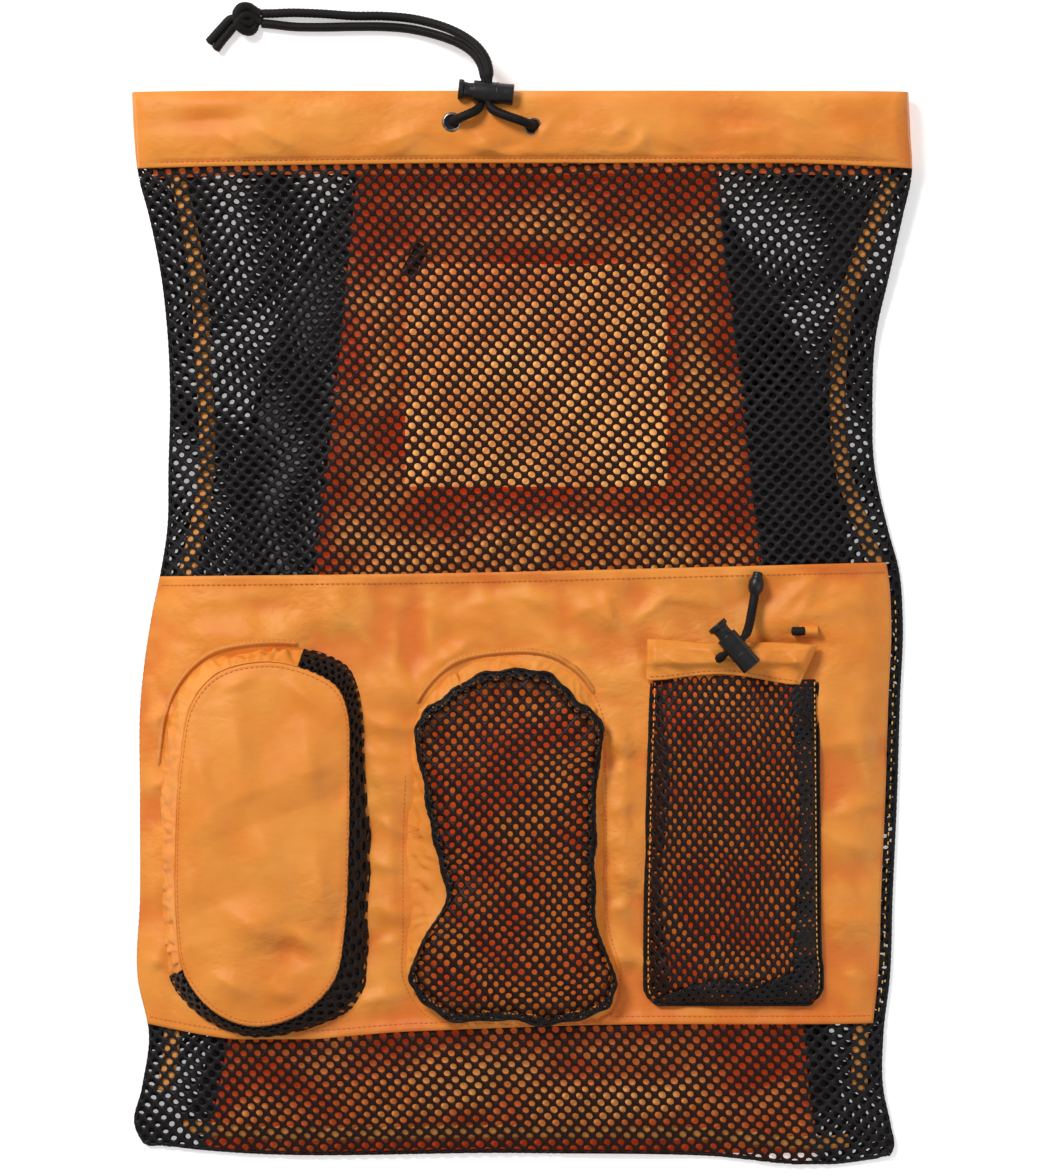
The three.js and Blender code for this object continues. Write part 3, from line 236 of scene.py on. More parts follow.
def crumple(seed, size, turn, soft=0.35):
    grid = np.random.RandomState(seed).uniform(-1, 1, (64, 64))
    cosine, sine = math.cos(turn), math.sin(turn)

    def read(x, y):
        x, y = np.asarray(x, float), np.asarray(y, float)
        u, v = (x * cosine + y * sine) / size + 31.5, (y * cosine - x * sine) / (0.62 * size) + 31.5
        i, j = np.floor(u).astype(int), np.floor(v).astype(int)
        a, b = u - i, v - j
        a, b = a + soft * (smooth(a) - a), b + soft * (smooth(b) - b)
        i, j = i % 63, j % 63
        p, q, r, s = grid[i, j], grid[i + 1, j], grid[i, j + 1], grid[i + 1, j + 1]
        return np.where(a + b < 1, p + (q - p) * a + (r - p) * b, s + (r - s) * (1 - a) + (q - s) * (1 - b))

    return read


print("front lies at", round(float(front_under(0.0, 100.0)), 1), "mm")

# %% [markdown]
# Cloth folds have a line that they run along, a width and a height. A fold is drawn here as a soft ridge
# along a straight line that fades at both ends, and a set of folds is a table of such lines. Listed
# ridges are used for the folds that one sees, and noise only for the small unrest between them.

# %% folds
def fold_field(folds, sharp=1.6):
    rows = [tuple(float(v) for v in fold) for fold in folds]

    def read(x, y):
        total = np.zeros(np.broadcast(x, y).shape)
        for x0, y0, x1, y1, width, height in rows:
            run = math.hypot(x1 - x0, y1 - y0)
            ux, uy = (x1 - x0) / run, (y1 - y0) / run
            along = (x - x0) * ux + (y - y0) * uy
            aside = -(x - x0) * uy + (y - y0) * ux
            ends = smooth((along + 0.3 * width) / (0.6 * run)) * smooth((run + 0.3 * width - along) / (0.6 * run))
            total = total + height * ends * np.exp(-np.abs(aside / width) ** sharp)
        return total

    return read


print("a fold is six numbers: the two ends of its line, its width and its height")

# %% [markdown]
# Meshes are written with whole arrays of vertices and four-sided faces, because the net has far too many
# small strands to place one by one. One helper makes the object, and another one turns a grid into faces.

# %% mesh helpers
def cloth_object(name, vertices, faces):
    mesh = bpy.data.meshes.new(name)
    vertices = np.ascontiguousarray(np.asarray(vertices, float).reshape(-1, 3) * MM)
    faces = np.asarray(faces, int)
    sides = faces.shape[1]
    mesh.vertices.add(len(vertices))
    mesh.vertices.foreach_set("co", vertices.ravel())
    mesh.loops.add(faces.size)
    mesh.loops.foreach_set("vertex_index", faces.ravel())
    mesh.polygons.add(len(faces))
    mesh.polygons.foreach_set("loop_start", np.arange(len(faces)) * sides)
    mesh.polygons.foreach_set("loop_total", np.full(len(faces), sides))
    mesh.polygons.foreach_set("use_smooth", np.full(len(faces), True))
    mesh.update(calc_edges=True)
    mesh.validate()
    piece = bpy.data.objects.new(name, mesh)
    bpy.context.scene.collection.objects.link(piece)
    return piece


def grid_faces(columns, rows, wraps=False):
    ring = columns if wraps else columns + 1
    i, j = np.meshgrid(np.arange(columns), np.arange(rows), indexing="ij")
    nxt = (i + 1) % ring
    return np.stack([j * ring + i, j * ring + nxt, (j + 1) * ring + nxt, (j + 1) * ring + i], -1).reshape(-1, 4)


def shaded(piece, shade, name="shade"):
    layer = piece.data.attributes.new(name, "FLOAT", "POINT")
    layer.data.foreach_set("value", np.clip(shade, 0, 1).astype(np.float32))
    return piece


def spots_of(piece):
    spots = np.empty(3 * len(piece.data.vertices))
    piece.data.vertices.foreach_get("co", spots)
    return spots.reshape(-1, 3).T / MM


def thicken(piece, thickness):
    wall = piece.modifiers.new("wall", "SOLIDIFY")
    wall.thickness = thickness * MM
    wall.offset = -1.0


def woven_sheet(name, columns, rows, place, thickness, shade=None, closed=False):
    u, v = np.meshgrid(np.linspace(0, 1, columns + 1), np.linspace(0, 1, rows + 1), indexing="xy")
    points = np.stack(place(u.ravel(), v.ravel()), -1)
    faces = grid_faces(columns, rows)
    a, b, c, d = (points[faces[:, k]] for k in range(4))
    if np.cross(c - a, d - b)[:, 2].sum() < 0:
        faces = faces[:, ::-1]
    piece = cloth_object(name, points, faces)
    if shade is not None:
        shaded(piece, shade(points[:, 0], points[:, 1], points[:, 2]))
    if closed:
        piece.modifiers.new("join", "WELD").merge_threshold = 0.05 * MM
    thicken(piece, thickness)
    return piece


print("mesh helpers ready")

# %% [markdown]
# A finish is a shader. The class below wraps one socket of the node tree, so that sums of masks read as
# sums, and one method adds any other node. Only colour, roughness and relief change over a surface: the
# other numbers are set once on the main shader.

# %% shader sums
class Wire:
    def __init__(self, finish, socket):
        self.finish, self.socket = finish, socket

    def __add__(self, other):
        return self.finish.number("ADD", self, other)

    def __sub__(self, other):
        return self.finish.number("SUBTRACT", self, other)

    def __rsub__(self, other):
        return self.finish.number("SUBTRACT", other, self)

    def __mul__(self, other):
        return self.finish.number("MULTIPLY", self, other)

    __radd__, __rmul__ = __add__, __mul__


class Finish:
    def __init__(self, name, roughness=0.6, **constants):
        self.material = bpy.data.materials.new(name)
        self.material.use_nodes = True
        self.tree = self.material.node_tree
        self.shader = self.tree.nodes["Principled BSDF"]
        self.shader.inputs["Roughness"].default_value = roughness
        for socket, value in constants.items():
            self.shader.inputs[socket.replace("_", " ")].default_value = value

    def node(self, kind, settings=None, inputs=None, output=0):
        added = self.tree.nodes.new(kind)
        for key, value in (settings or {}).items():
            if key == "stops":
                for k, (at, colour) in enumerate(value):
                    stop = added.color_ramp.elements[k] if k < 2 else added.color_ramp.elements.new(at)
                    stop.position, stop.color = at, (*colour, 1.0)
            else:
                setattr(added, key, value)
        for key, value in (inputs or {}).items():
            self.feed(added.inputs[key], value)
        return Wire(self, added.outputs[output])

    def feed(self, socket, value):
        if isinstance(value, Wire):
            self.tree.links.new(value.socket, socket)
        elif isinstance(value, tuple) and len(value) == 3 and socket.type == "RGBA":
            socket.default_value = (*value, 1.0)
        else:
            socket.default_value = value

    def number(self, operation, first, second=0.0):
        return self.node("ShaderNodeMath", {"operation": operation}, {0: first, 1: second})

    def places(self, stretch=(1.0, 1.0, 1.0), turn=(0.0, 0.0, 0.0)):
        spots = self.node("ShaderNodeTexCoord", output=3)
        return self.node("ShaderNodeMapping", {}, {"Vector": spots, "Rotation": turn, "Scale": stretch})

    def noise(self, size, detail=2.0, stretch=(1.0, 1.0, 1.0), turn=(0.0, 0.0, 0.0), roughness=0.5):
        spots = self.places(stretch, turn)
        return self.node("ShaderNodeTexNoise", {}, {
            "Vector": spots, "Scale": 1.0 / (size * MM), "Detail": detail, "Roughness": roughness,
        })

    def stripes(self, size, stretch=(1.0, 1.0, 1.0), turn=(0.0, 0.0, 0.0), direction="X"):
        spots = self.places(stretch, turn)
        return self.node("ShaderNodeTexWave", {"bands_direction": direction}, {
            "Vector": spots, "Scale": 0.314 / (size * MM), "Distortion": 0.0,
        }, output=1)

    def between(self, mask, low, high):
        return self.node("ShaderNodeMix", {"data_type": "RGBA"}, {0: mask, 6: low, 7: high}, output=2)

    def spread(self, value, low, high):
        return self.node("ShaderNodeMapRange", {}, {"Value": value, "From Min": low, "From Max": high})

    def relief(self, height, depth, below=None):
        inputs = {"Height": height, "Distance": depth * MM, "Strength": 1.0}
        if below is not None:
            inputs["Normal"] = below
        return self.node("ShaderNodeBump", {}, inputs)

    def wear(self, **sockets):
        for socket, value in sockets.items():
            self.feed(self.shader.inputs[socket.replace("_", " ")], value)
        return self.material


print("shader helpers ready")

# %% [markdown]
# The nylon is a thin plain-woven cloth with a faint shine. Its threads run across and along the bag, and
# the cloth crinkles where it was packed. Its orange is painted deeper in broad patches that follow the crinkle
# noise: painted shade. Where light has passed through several layers it turns red: that painted shade is a
# number written on the points of the cloth, in the hollows of its folds and under the nets, because the light
# itself would need far more bounces to show it. A second number says where light that came through a net
# makes the cloth glow: painted light.

# %% nylon finishes
CLOTH_SHADE = (0.62, 0.052, 0.006)


def nylon_finish(name, light, deep, crinkle=1.3, glow=0.0, glows_all_over=True):
    finish = Finish(name, 0.42, Specular_IOR_Level=0.25, Sheen_Weight=0.03, Sheen_Roughness=0.4,
                    Emission_Strength=glow)
    slubs = finish.noise(1.6, 1.0, (0.2, 2.6, 1.0))
    creases = finish.noise(38.0, 3.0, (1.0, 1.2, 1.0), roughness=0.5)
    ridges = finish.number("ABSOLUTE", creases - 0.5)
    fine_creases = finish.number("ABSOLUTE", finish.noise(13.0, 3.0, (1.0, 1.5, 1.0), (0.0, 0.0, 0.5)) - 0.5)
    creased_here = finish.spread(finish.noise(52.0, 1.0), 0.42, 0.62)
    weave = finish.stripes(0.55) * 0.5 + finish.stripes(0.55, direction="Y") * 0.5
    # painted shade: the orange turns deeper where the crease noise is low
    tone = finish.spread(creases * 0.8 + slubs * 0.2, 0.32, 0.66)
    in_shade = finish.node("ShaderNodeAttribute", {"attribute_name": "shade"}, output=2)
    cloth = finish.between(in_shade, finish.between(tone * 0.85 + weave * 0.15, deep, light), CLOTH_SHADE)
    bumps = finish.relief(ridges, crinkle, finish.relief(fine_creases * creased_here, 0.8 * crinkle))
    bumps = finish.relief(weave, 0.06, bumps)
    glowing = cloth
    if not glows_all_over:
        lit = finish.node("ShaderNodeAttribute", {"attribute_name": "lit"}, output=2)
        glowing = finish.between(lit, (0.0, 0.0, 0.0), cloth)
    return finish.wear(Base_Color=cloth, Emission_Color=glowing, Roughness=slubs * 0.12 + 0.34, Normal=bumps)


# painted light: the back panel and the patch glow all over, for light from the white table that passes their thin
# nylon, and the patch is painted the lightest orange, as it lies close under the net
NYLON = nylon_finish("nylon", (0.84, 0.325, 0.055), (0.77, 0.222, 0.026), 1.8, 0.42, False)
NYLON_BACK = nylon_finish("nylon_back", (1.0, 0.46, 0.125), (0.86, 0.22, 0.03), 2.0, 0.2)
PATCH = nylon_finish("patch_nylon", (1.0, 0.48, 0.15), (0.97, 0.38, 0.09), 1.0, 0.5)

# %% [markdown]
# The net, the cord, the strap and the webbing are black yarn. Yarn is many fine filaments, so the finish
# is a dark, slightly shiny base with thin stripes of relief and a little sheen at grazing angles. Where
# bright orange cloth lies behind, the fine yarn of a net lets some of its light through: that light is
# painted into the yarn as a reddish brown, by a number written on the net's points.

# %% black finishes
# painted light: the reddish brown of orange light coming through the yarn from behind
PAINTED_ORANGE_LIGHT = (0.024, 0.0055, 0.002)


def yarn_finish(name, colour, pale, roughness, filament=0.35, depth=0.08, glow=0.0):
    finish = Finish(name, roughness, Specular_IOR_Level=0.15, Sheen_Weight=0.04, Sheen_Roughness=0.35,
                    Emission_Strength=glow)
    fuzz = finish.noise(filament, 3.0, (2.5, 0.5, 1.0))
    patches = finish.noise(14.0, 2.0)
    yarn = finish.between(finish.spread(patches * 0.5 + fuzz * 0.5, 0.3, 0.75), colour, pale)
    orange_light_mask = finish.node("ShaderNodeAttribute", {"attribute_name": "shade"}, output=2)
    tone = finish.between(orange_light_mask, yarn, PAINTED_ORANGE_LIGHT)
    return finish.wear(Base_Color=tone, Emission_Color=tone, Normal=finish.relief(fuzz, depth))


KNIT = yarn_finish("knit", (0.006, 0.005, 0.005), (0.019, 0.016, 0.016), 0.4, 0.5, 0.12)
CORD = yarn_finish("cord", (0.005, 0.004, 0.004), (0.016, 0.013, 0.012), 0.55, 0.25, 0.1)
STRAP = yarn_finish("strap", (0.006, 0.006, 0.006), (0.018, 0.017, 0.018), 0.6, 0.9, 0.3)
# painted light: the pale lining glows a little, so that it shows through the two nets where little light reaches it
LINING = yarn_finish("strap_lining", (0.05, 0.05, 0.052), (0.70, 0.70, 0.72), 0.6, 6.0, 0.5, 0.22)

# %% [markdown]
# Toggles are moulded in a matte black plastic with a fine spark-eroded grain. The eyelets are brass with
# a dark plating that is worn bright on the rim. Thread, tape and zip coil follow the orange of the cloth.

# %% small finishes
def plastic_finish(name, colour, roughness):
    finish = Finish(name, roughness, Specular_IOR_Level=0.4)
    grain = finish.noise(0.35, 2.0)
    smudges = finish.noise(5.0, 2.0)
    tone = finish.between(smudges, colour, tuple(2.2 * part for part in colour))
    dull = smudges * 0.2 + (roughness - 0.1)
    return finish.wear(Base_Color=tone, Roughness=dull, Normal=finish.relief(grain, 0.03))


def metal_finish(name, colour, bright):
    finish = Finish(name, 0.3, Metallic=1.0)
    rubs = finish.noise(1.6, 3.0, (1.0, 1.0, 0.3))
    tone = finish.between(finish.spread(rubs, 0.35, 0.7), colour, bright)
    return finish.wear(Base_Color=tone, Roughness=rubs * 0.3 + 0.16, Normal=finish.relief(rubs, 0.02))


def tape_finish(name, light, deep, rib=0.9):
    finish = Finish(name, 0.62, Sheen_Weight=0.2, Sheen_Roughness=0.4)
    ribs = finish.stripes(rib, direction="DIAGONAL")
    patches = finish.noise(4.0, 2.0)
    tone = finish.between(ribs * 0.4 + patches * 0.6, deep, light)
    return finish.wear(Base_Color=tone, Normal=finish.relief(ribs, 0.12))


PLASTIC = plastic_finish("toggle_plastic", (0.006, 0.006, 0.006), 0.36)
METAL = metal_finish("eyelet_metal", (0.16, 0.15, 0.15), (0.42, 0.40, 0.38))
THREAD = tape_finish("thread", (0.80, 0.22, 0.03), (0.62, 0.13, 0.015), 0.4)
PALE_THREAD = tape_finish("pale_thread", (0.92, 0.52, 0.10), (0.84, 0.38, 0.06), 0.4)
TAPE = tape_finish("binding_tape", (0.88, 0.38, 0.07), (0.66, 0.20, 0.03))
ZIP = tape_finish("zip_tape", (0.80, 0.30, 0.04), (0.58, 0.17, 0.015), 1.3)
WEBBING = tape_finish("webbing", (0.020, 0.019, 0.020), (0.008, 0.008, 0.009), 1.4)

floor_finish = Finish("table_paper", 0.9, Emission_Strength=0.42)
floor_tone = floor_finish.between(floor_finish.noise(60.0, 2.0), (0.93, 0.93, 0.93), (0.96, 0.96, 0.96))
table_data.materials.append(floor_finish.wear(Base_Color=floor_tone, Emission_Color=floor_tone))
print("finishes:", len(bpy.data.materials))


def dress(piece, material, slot, *nodes):
    piece.data.materials.append(material)
    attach(piece, "root")
    if nodes:
        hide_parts(*nodes)
    return piece


# %% [markdown]
# Cords come first among the pieces. A braided cord is a tube whose surface is covered with small bumps
# in staggered rows, where one bundle of yarn passes over another. A swept tube with that relief in the
# mesh is used, because the braid can be seen from close by and catches the light.

# %% braided tubes
def even_path(points, step):
    points = np.array(points, float)
    ghost = np.vstack([2 * points[0] - points[1], points, 2 * points[-1] - points[-2]])
    lengths = np.linalg.norm(np.diff(ghost, axis=0), axis=1) ** 0.5
    knots = np.concatenate([[0], np.cumsum(lengths)])
    dense = []
    for k in range(1, len(ghost) - 2):
        t0, t1, t2, t3 = knots[k - 1:k + 3]
        t = np.linspace(t1, t2, 24, endpoint=False)[:, None]
        a1 = (t1 - t) / (t1 - t0) * ghost[k - 1] + (t - t0) / (t1 - t0) * ghost[k]
        a2 = (t2 - t) / (t2 - t1) * ghost[k] + (t - t1) / (t2 - t1) * ghost[k + 1]
        a3 = (t3 - t) / (t3 - t2) * ghost[k + 1] + (t - t2) / (t3 - t2) * ghost[k + 2]
        b1 = (t2 - t) / (t2 - t0) * a1 + (t - t0) / (t2 - t0) * a2
        b2 = (t3 - t) / (t3 - t1) * a2 + (t - t1) / (t3 - t1) * a3
        dense.append((t2 - t) / (t2 - t1) * b1 + (t - t1) / (t2 - t1) * b2)
    dense = np.vstack(dense + [points[-1:]])
    travel = np.concatenate([[0], np.cumsum(np.linalg.norm(np.diff(dense, axis=0), axis=1))])
    count = max(2, int(round(travel[-1] / step)))
    at = np.linspace(0, travel[-1], count + 1)
    return np.stack([np.interp(at, travel, dense[:, k]) for k in range(3)], -1), at


def path_frames(path):
    tangents = np.gradient(path, axis=0)
    tangents /= np.linalg.norm(tangents, axis=1)[:, None]
    side = np.cross(tangents[0], (0.0, 0.0, 1.0))
    if np.linalg.norm(side) < 0.2:
        side = np.cross(tangents[0], (0.0, 1.0, 0.0))
    sides = []
    for tangent in tangents:
        side = side - tangent * np.dot(side, tangent)
        side = side / np.linalg.norm(side)
        sides.append(side)
    sides = np.array(sides)
    return tangents, sides, np.cross(tangents, sides)


def swept(name, points, radius, sides=22, step=0.66, braid=0.0, bundles=7, lay=2.7, ends=0.85):
    path, travel = even_path(points, step)
    _, across, upward = path_frames(path)
    angles = np.linspace(0, 2 * np.pi, sides, endpoint=False)
    size = radius(path) if callable(radius) else np.full(len(path), radius)
    cap = np.minimum(travel, travel[-1] - travel)
    size = size * np.where(cap < ends, np.sqrt(np.clip(1 - (1 - cap / ends) ** 2, 0.02, 1)), 1.0)
    pattern = np.cos(bundles * angles)[None, :] * np.cos(2 * np.pi * travel / lay)[:, None]
    reach = size[:, None] * (1 + braid * np.sign(pattern) * np.abs(pattern) ** 0.7)
    offset = np.cos(angles)[None, :, None] * across[:, None] + np.sin(angles)[None, :, None] * upward[:, None]
    rings = path[:, None] + offset * reach[:, :, None]
    faces = grid_faces(sides, len(path) - 1, wraps=True)
    points_all = np.vstack([rings.reshape(-1, 3), path[:1], path[-1:]])
    first, last = len(points_all) - 2, len(points_all) - 1
    k = np.arange(sides)
    start = np.stack([np.full(sides, first), (k + 1) % sides, k, np.full(sides, first)], -1)
    base = (len(path) - 1) * sides
    finish = np.stack([np.full(sides, last), base + k, base + (k + 1) % sides, np.full(sides, last)], -1)
    piece = capped_object(name, points_all, faces, np.vstack([start, finish])[:, :3])
    return piece, path


def capped_object(name, points, quads, triangles):
    mesh = bpy.data.meshes.new(name)
    faces = [tuple(face) for face in quads.tolist()] + [tuple(face) for face in triangles.tolist()]
    mesh.from_pydata((np.asarray(points) * MM).tolist(), [], faces)
    mesh.polygons.foreach_set("use_smooth", np.full(len(faces), True))
    piece = bpy.data.objects.new(name, mesh)
    bpy.context.scene.collection.objects.link(piece)
    return piece


print("swept tubes ready")

# %% [markdown]
# The two strands of the drawcord rise out of the eyelets, pass side by side through the toggle, drop to
# the table behind the mouth and run on to a knot. They are squeezed where they go through the toggle.
# The route's points are the same as in the solids.

# %% drawcord strands
LEFT_ROUTE = [
    (-42.4, 292.2, 20.2), (-40.9, 292.8, 23.4), (-39.8, 293.2, 26.0), (-38.2, 293.8, 28.7),
    (-35.8, 294.8, 30.9), (-32.8, 296.0, 31.8), (-29.6, 297.4, 31.2), (-26.8, 299.0, 29.6),
    (-24.5, 301.2, 27.8), (-23.0, 304.0, 26.3), (-22.4, 307.0, 25.6), (-22.1, 310.1, 25.5),
    (-21.8, 314.0, 25.5), (-21.8, 317.5, 25.2), (-22.3, 322.0, 23.6), (-24.0, 327.5, 20.2),
    (-28.0, 333.4, 16.0), (-34.8, 338.8, 11.6), (-43.6, 343.0, 7.8), (-54.0, 346.4, 5.0),
    (-66.0, 349.0, 3.3), (-80.0, 350.2, 2.8), (-98.6, 350.3, 2.8), (-116.0, 350.0, 2.8),
    (-133.4, 350.3, 2.8), (-145.0, 351.6, 2.8), (-152.0, 352.2, 2.9),
]
RIGHT_ROUTE = [
    (8.2, 290.0, 20.2), (6.7, 290.5, 23.4), (5.5, 290.9, 26.0), (4.0, 291.5, 28.7),
    (1.5, 292.3, 31.0), (-1.7, 293.4, 32.4), (-5.4, 294.6, 32.8), (-9.2, 296.0, 32.4),
    (-12.8, 297.5, 31.2), (-16.2, 299.2, 29.8), (-18.8, 301.8, 28.9), (-19.6, 305.2, 28.5),
    (-19.4, 310.0, 28.6), (-19.2, 314.0, 28.7), (-19.0, 318.0, 29.0), (-19.2, 323.0, 28.2),
    (-20.8, 329.0, 25.6), (-25.0, 335.8, 21.6), (-32.0, 342.2, 16.8), (-41.2, 347.6, 12.2),
    (-52.2, 351.8, 8.1), (-65.0, 354.9, 4.9), (-80.0, 356.4, 3.1), (-98.6, 356.6, 2.8),
    (-116.0, 357.8, 2.8), (-133.4, 358.4, 2.8), (-145.0, 358.0, 2.8), (-152.0, 357.9, 2.9),
]
CORD_D = 5.2


def toggle_frame(head, end):
    head, end = np.array(head, float), np.array(end, float)
    axis = (end - head) / np.linalg.norm(end - head)
    across = np.cross(axis, (0.0, 0.0, 1.0))
    return head, axis, across


CORD_TOGGLE = toggle_frame((-36.7, 311.54, 27.2), (-5.0, 308.4, 27.2))
POCKET_TOGGLE = toggle_frame((111.7, 2.85, 36.4), (132.4, -21.55, 36.4))


def squeezed(toggle):
    middle = toggle[0] + toggle[1] * 16.2

    def radius(path):
        away = np.linalg.norm(path - middle, axis=1)
        return 0.5 * (3.9 + (CORD_D - 3.9) * smooth((away - 7.5) / 3.0))

    return radius


def free_cord(name, route, toggle, nodes):
    piece, path = swept(name, route, squeezed(toggle), braid=0.07)
    dress(piece, CORD, "cord", *nodes)
    return piece


# %% [markdown]
# The knot ties both strands together in one overhand turn. It is a single tube that winds round itself,
# with a second one beside it, and the two cut ends lie side by side beyond it.

# %% knot
def knot_strand(name, shift, tail):
    turns = [
        (-151.0, 354.9, 3.0), (-154.5, 356.8, 3.6), (-158.6, 359.2, 5.4), (-163.0, 358.4, 7.4),
        (-165.2, 354.4, 7.6), (-162.6, 350.6, 6.4), (-158.0, 349.6, 4.4), (-155.6, 352.6, 3.0),
        (-157.8, 357.0, 2.8), (-161.8, 357.4, 3.2), (-164.4, 353.6, 3.6), *tail,
    ]
    route = [(x + shift[0], y + shift[1], z + shift[2]) for x, y, z in turns[:-len(tail)]] + list(tail)
    piece, _ = swept(name, route, CORD_D / 2, braid=0.07, step=0.6)
    return piece


lower_tail = [(-167.4, 350.4, 3.2), (-170.8, 346.6, 2.8), (-174.2, 342.6, 2.8), (-178.6, 336.6, 2.8)]
upper_tail = [(-170.0, 354.2, 3.4), (-173.8, 350.4, 2.9), (-177.8, 346.0, 2.8), (-182.6, 340.6, 2.8)]
knot_lower = dress(knot_strand("knot_strand_lower", (0.0, -2.2, 0.0), lower_tail), CORD, "cord", "drawcord_knot")
knot_upper = dress(knot_strand("knot_strand_upper", (-0.6, 2.4, 0.4), upper_tail), CORD, "cord")

# %% [markdown]
# Toggles are turned parts: a barrel with a closed end, and a plunger whose broad head stands out of it.
# Both have a hole for the cord across their axis. They are lathed here from a profile with rounded edges,
# and the squeezed cord runs straight through the side of the barrel, where the hole would be.

# %% turned parts
def turned(name, profile, origin, axis, across, segments=48):
    profile = np.array(profile, float)
    angles = np.linspace(0, 2 * np.pi, segments, endpoint=False)
    other = np.cross(axis, across)
    rings = [
        origin + axis * z + (across * np.cos(angles)[:, None] + other * np.sin(angles)[:, None]) * r
        for r, z in profile
    ]
    return cloth_object(name, np.vstack(rings), grid_faces(segments, len(profile) - 1, wraps=True))


def rounded(profile, reach=0.5, steps=4):
    points = [np.array(p, float) for p in profile]
    out = [points[0]]
    for before, corner, after in zip(points, points[1:], points[2:]):
        a, b = before - corner, after - corner
        cut = min(reach, 0.45 * np.linalg.norm(a), 0.45 * np.linalg.norm(b))
        start, end = corner + a / np.linalg.norm(a) * cut, corner + b / np.linalg.norm(b) * cut
        out += [(1 - t) ** 2 * start + 2 * t * (1 - t) * corner + t * t * end for t in np.linspace(0, 1, steps + 1)]
    return [tuple(p) for p in out + [points[-1]]]


def toggle_pieces(name, toggle, body, nodes):
    origin, axis, across = toggle
    barrel = turned(f"{name}_barrel_shell", rounded([
        (5.0, 9.4), (5.0, 8.6), (6.2, 8.6), (6.2, 20.0), (6.0, 26.0), (6.2, 32.0), (0.02, 32.0),
    ], 0.7), origin, axis, across)
    head = turned(f"{name}_head", rounded([
        (0.02, 0.0), (6.0, 0.0), (6.0, 2.6), (4.7, 3.4), (4.4, 6.2), (4.8, 9.6),
    ], 0.6), origin, axis, across)
    rib = turned(f"{name}_rib", rounded([
        (6.1, 21.6), (6.45, 21.9), (6.45, 22.9), (6.1, 23.2),
    ], 0.3), origin, axis, across)
    for piece, ride in ((barrel, "root"), (head, body), (rib, "root")):
        piece.data.materials.append(PLASTIC)
        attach(piece, ride)
    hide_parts(nodes[0])
    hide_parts(nodes[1])
    return [barrel, head, rib]


cord_toggle = toggle_pieces(
    "cord_toggle", CORD_TOGGLE, "cord_toggle_plunger", ("cord_lock_barrel", "cord_lock_plunger"))
pocket_toggle = toggle_pieces(
    "pocket_toggle", POCKET_TOGGLE, "pocket_toggle_plunger", ("pocket_lock_barrel", "pocket_lock_plunger"))
print("toggles:", len(cord_toggle) + len(pocket_toggle), "pieces")

# %% [markdown]
# Now the two strands are laid. Each
# strand is a cord of its own, with its length, its thickness, its way out of the bag and the knot at its end.

# %% lay the drawcord
free_cord(
    "drawcord_strand_left", LEFT_ROUTE, CORD_TOGGLE, ["drawcord_left"])
free_cord(
    "drawcord_strand_right", RIGHT_ROUTE, CORD_TOGGLE, ["drawcord_right"])

# %% [markdown]
# A shorter cord draws the right pocket shut. It leaves the pocket's little casing, goes through its own
# toggle and ends in a round moulded bead on the panel.

# %% pocket cord
POCKET_ROUTE = [
    (112.4, -17.9, 25.8), (112.9, -17.5, 27.6), (113.8, -16.7, 30.3), (115.4, -15.4, 33.0),
    (117.5, -13.5, 35.2), (119.9, -11.5, 36.2), (122.2, -9.5, 36.4), (124.8, -7.3, 36.2),
    (127.1, -5.1, 35.2), (129.3, -2.2, 33.0), (131.0, 2.4, 29.6), (132.2, 7.8, 26.3),
    (133.3, 13.2, 23.5), (134.2, 18.2, 21.8), (134.6, 20.8, 21.4),
]
bead_axis = np.array([POCKET_ROUTE[-1][k] - POCKET_ROUTE[-2][k] for k in (0, 1)] + [0.0])
bead_axis /= np.linalg.norm(bead_axis)
bead = turned("cord_bead", rounded([
    (2.6, -1.4), (3.5, 0.1), (4.2, 1.6), (4.55, 3.8), (4.4, 6.0),
    (3.6, 8.0), (3.0, 8.9), (2.9, 11.0), (2.4, 12.0), (0.02, 12.1),
], 0.8), np.array(POCKET_ROUTE[-1]) + bead_axis * 0.5, bead_axis, np.cross(bead_axis, (0, 0, 1.0)))
dress(bead, PLASTIC, "toggle", "pocket_bead")
free_cord(
    "pocket_cord_braid", POCKET_ROUTE, POCKET_TOGGLE, ["pocket_cord"])

# %% [markdown]
# The net is a warp knit with rounded holes in staggered rows. Each hole is one cell of a lattice: eight
# points round the cell, shared with its neighbours, and eight round the hole, above and below. The yarn is
# thickest in the middle of a strand and rounds off to a short wall in the hole, as bundled yarn does. The
# cells are made for a flat net and then laid on whatever height the cloth has.

# %% net builder
PITCH, ROW = 8.2, 3.86
CELL_RING = np.array([(2, 0), (1, 1), (0, 2), (-1, 1), (-2, 0), (-1, -1), (0, -2), (1, -1)])


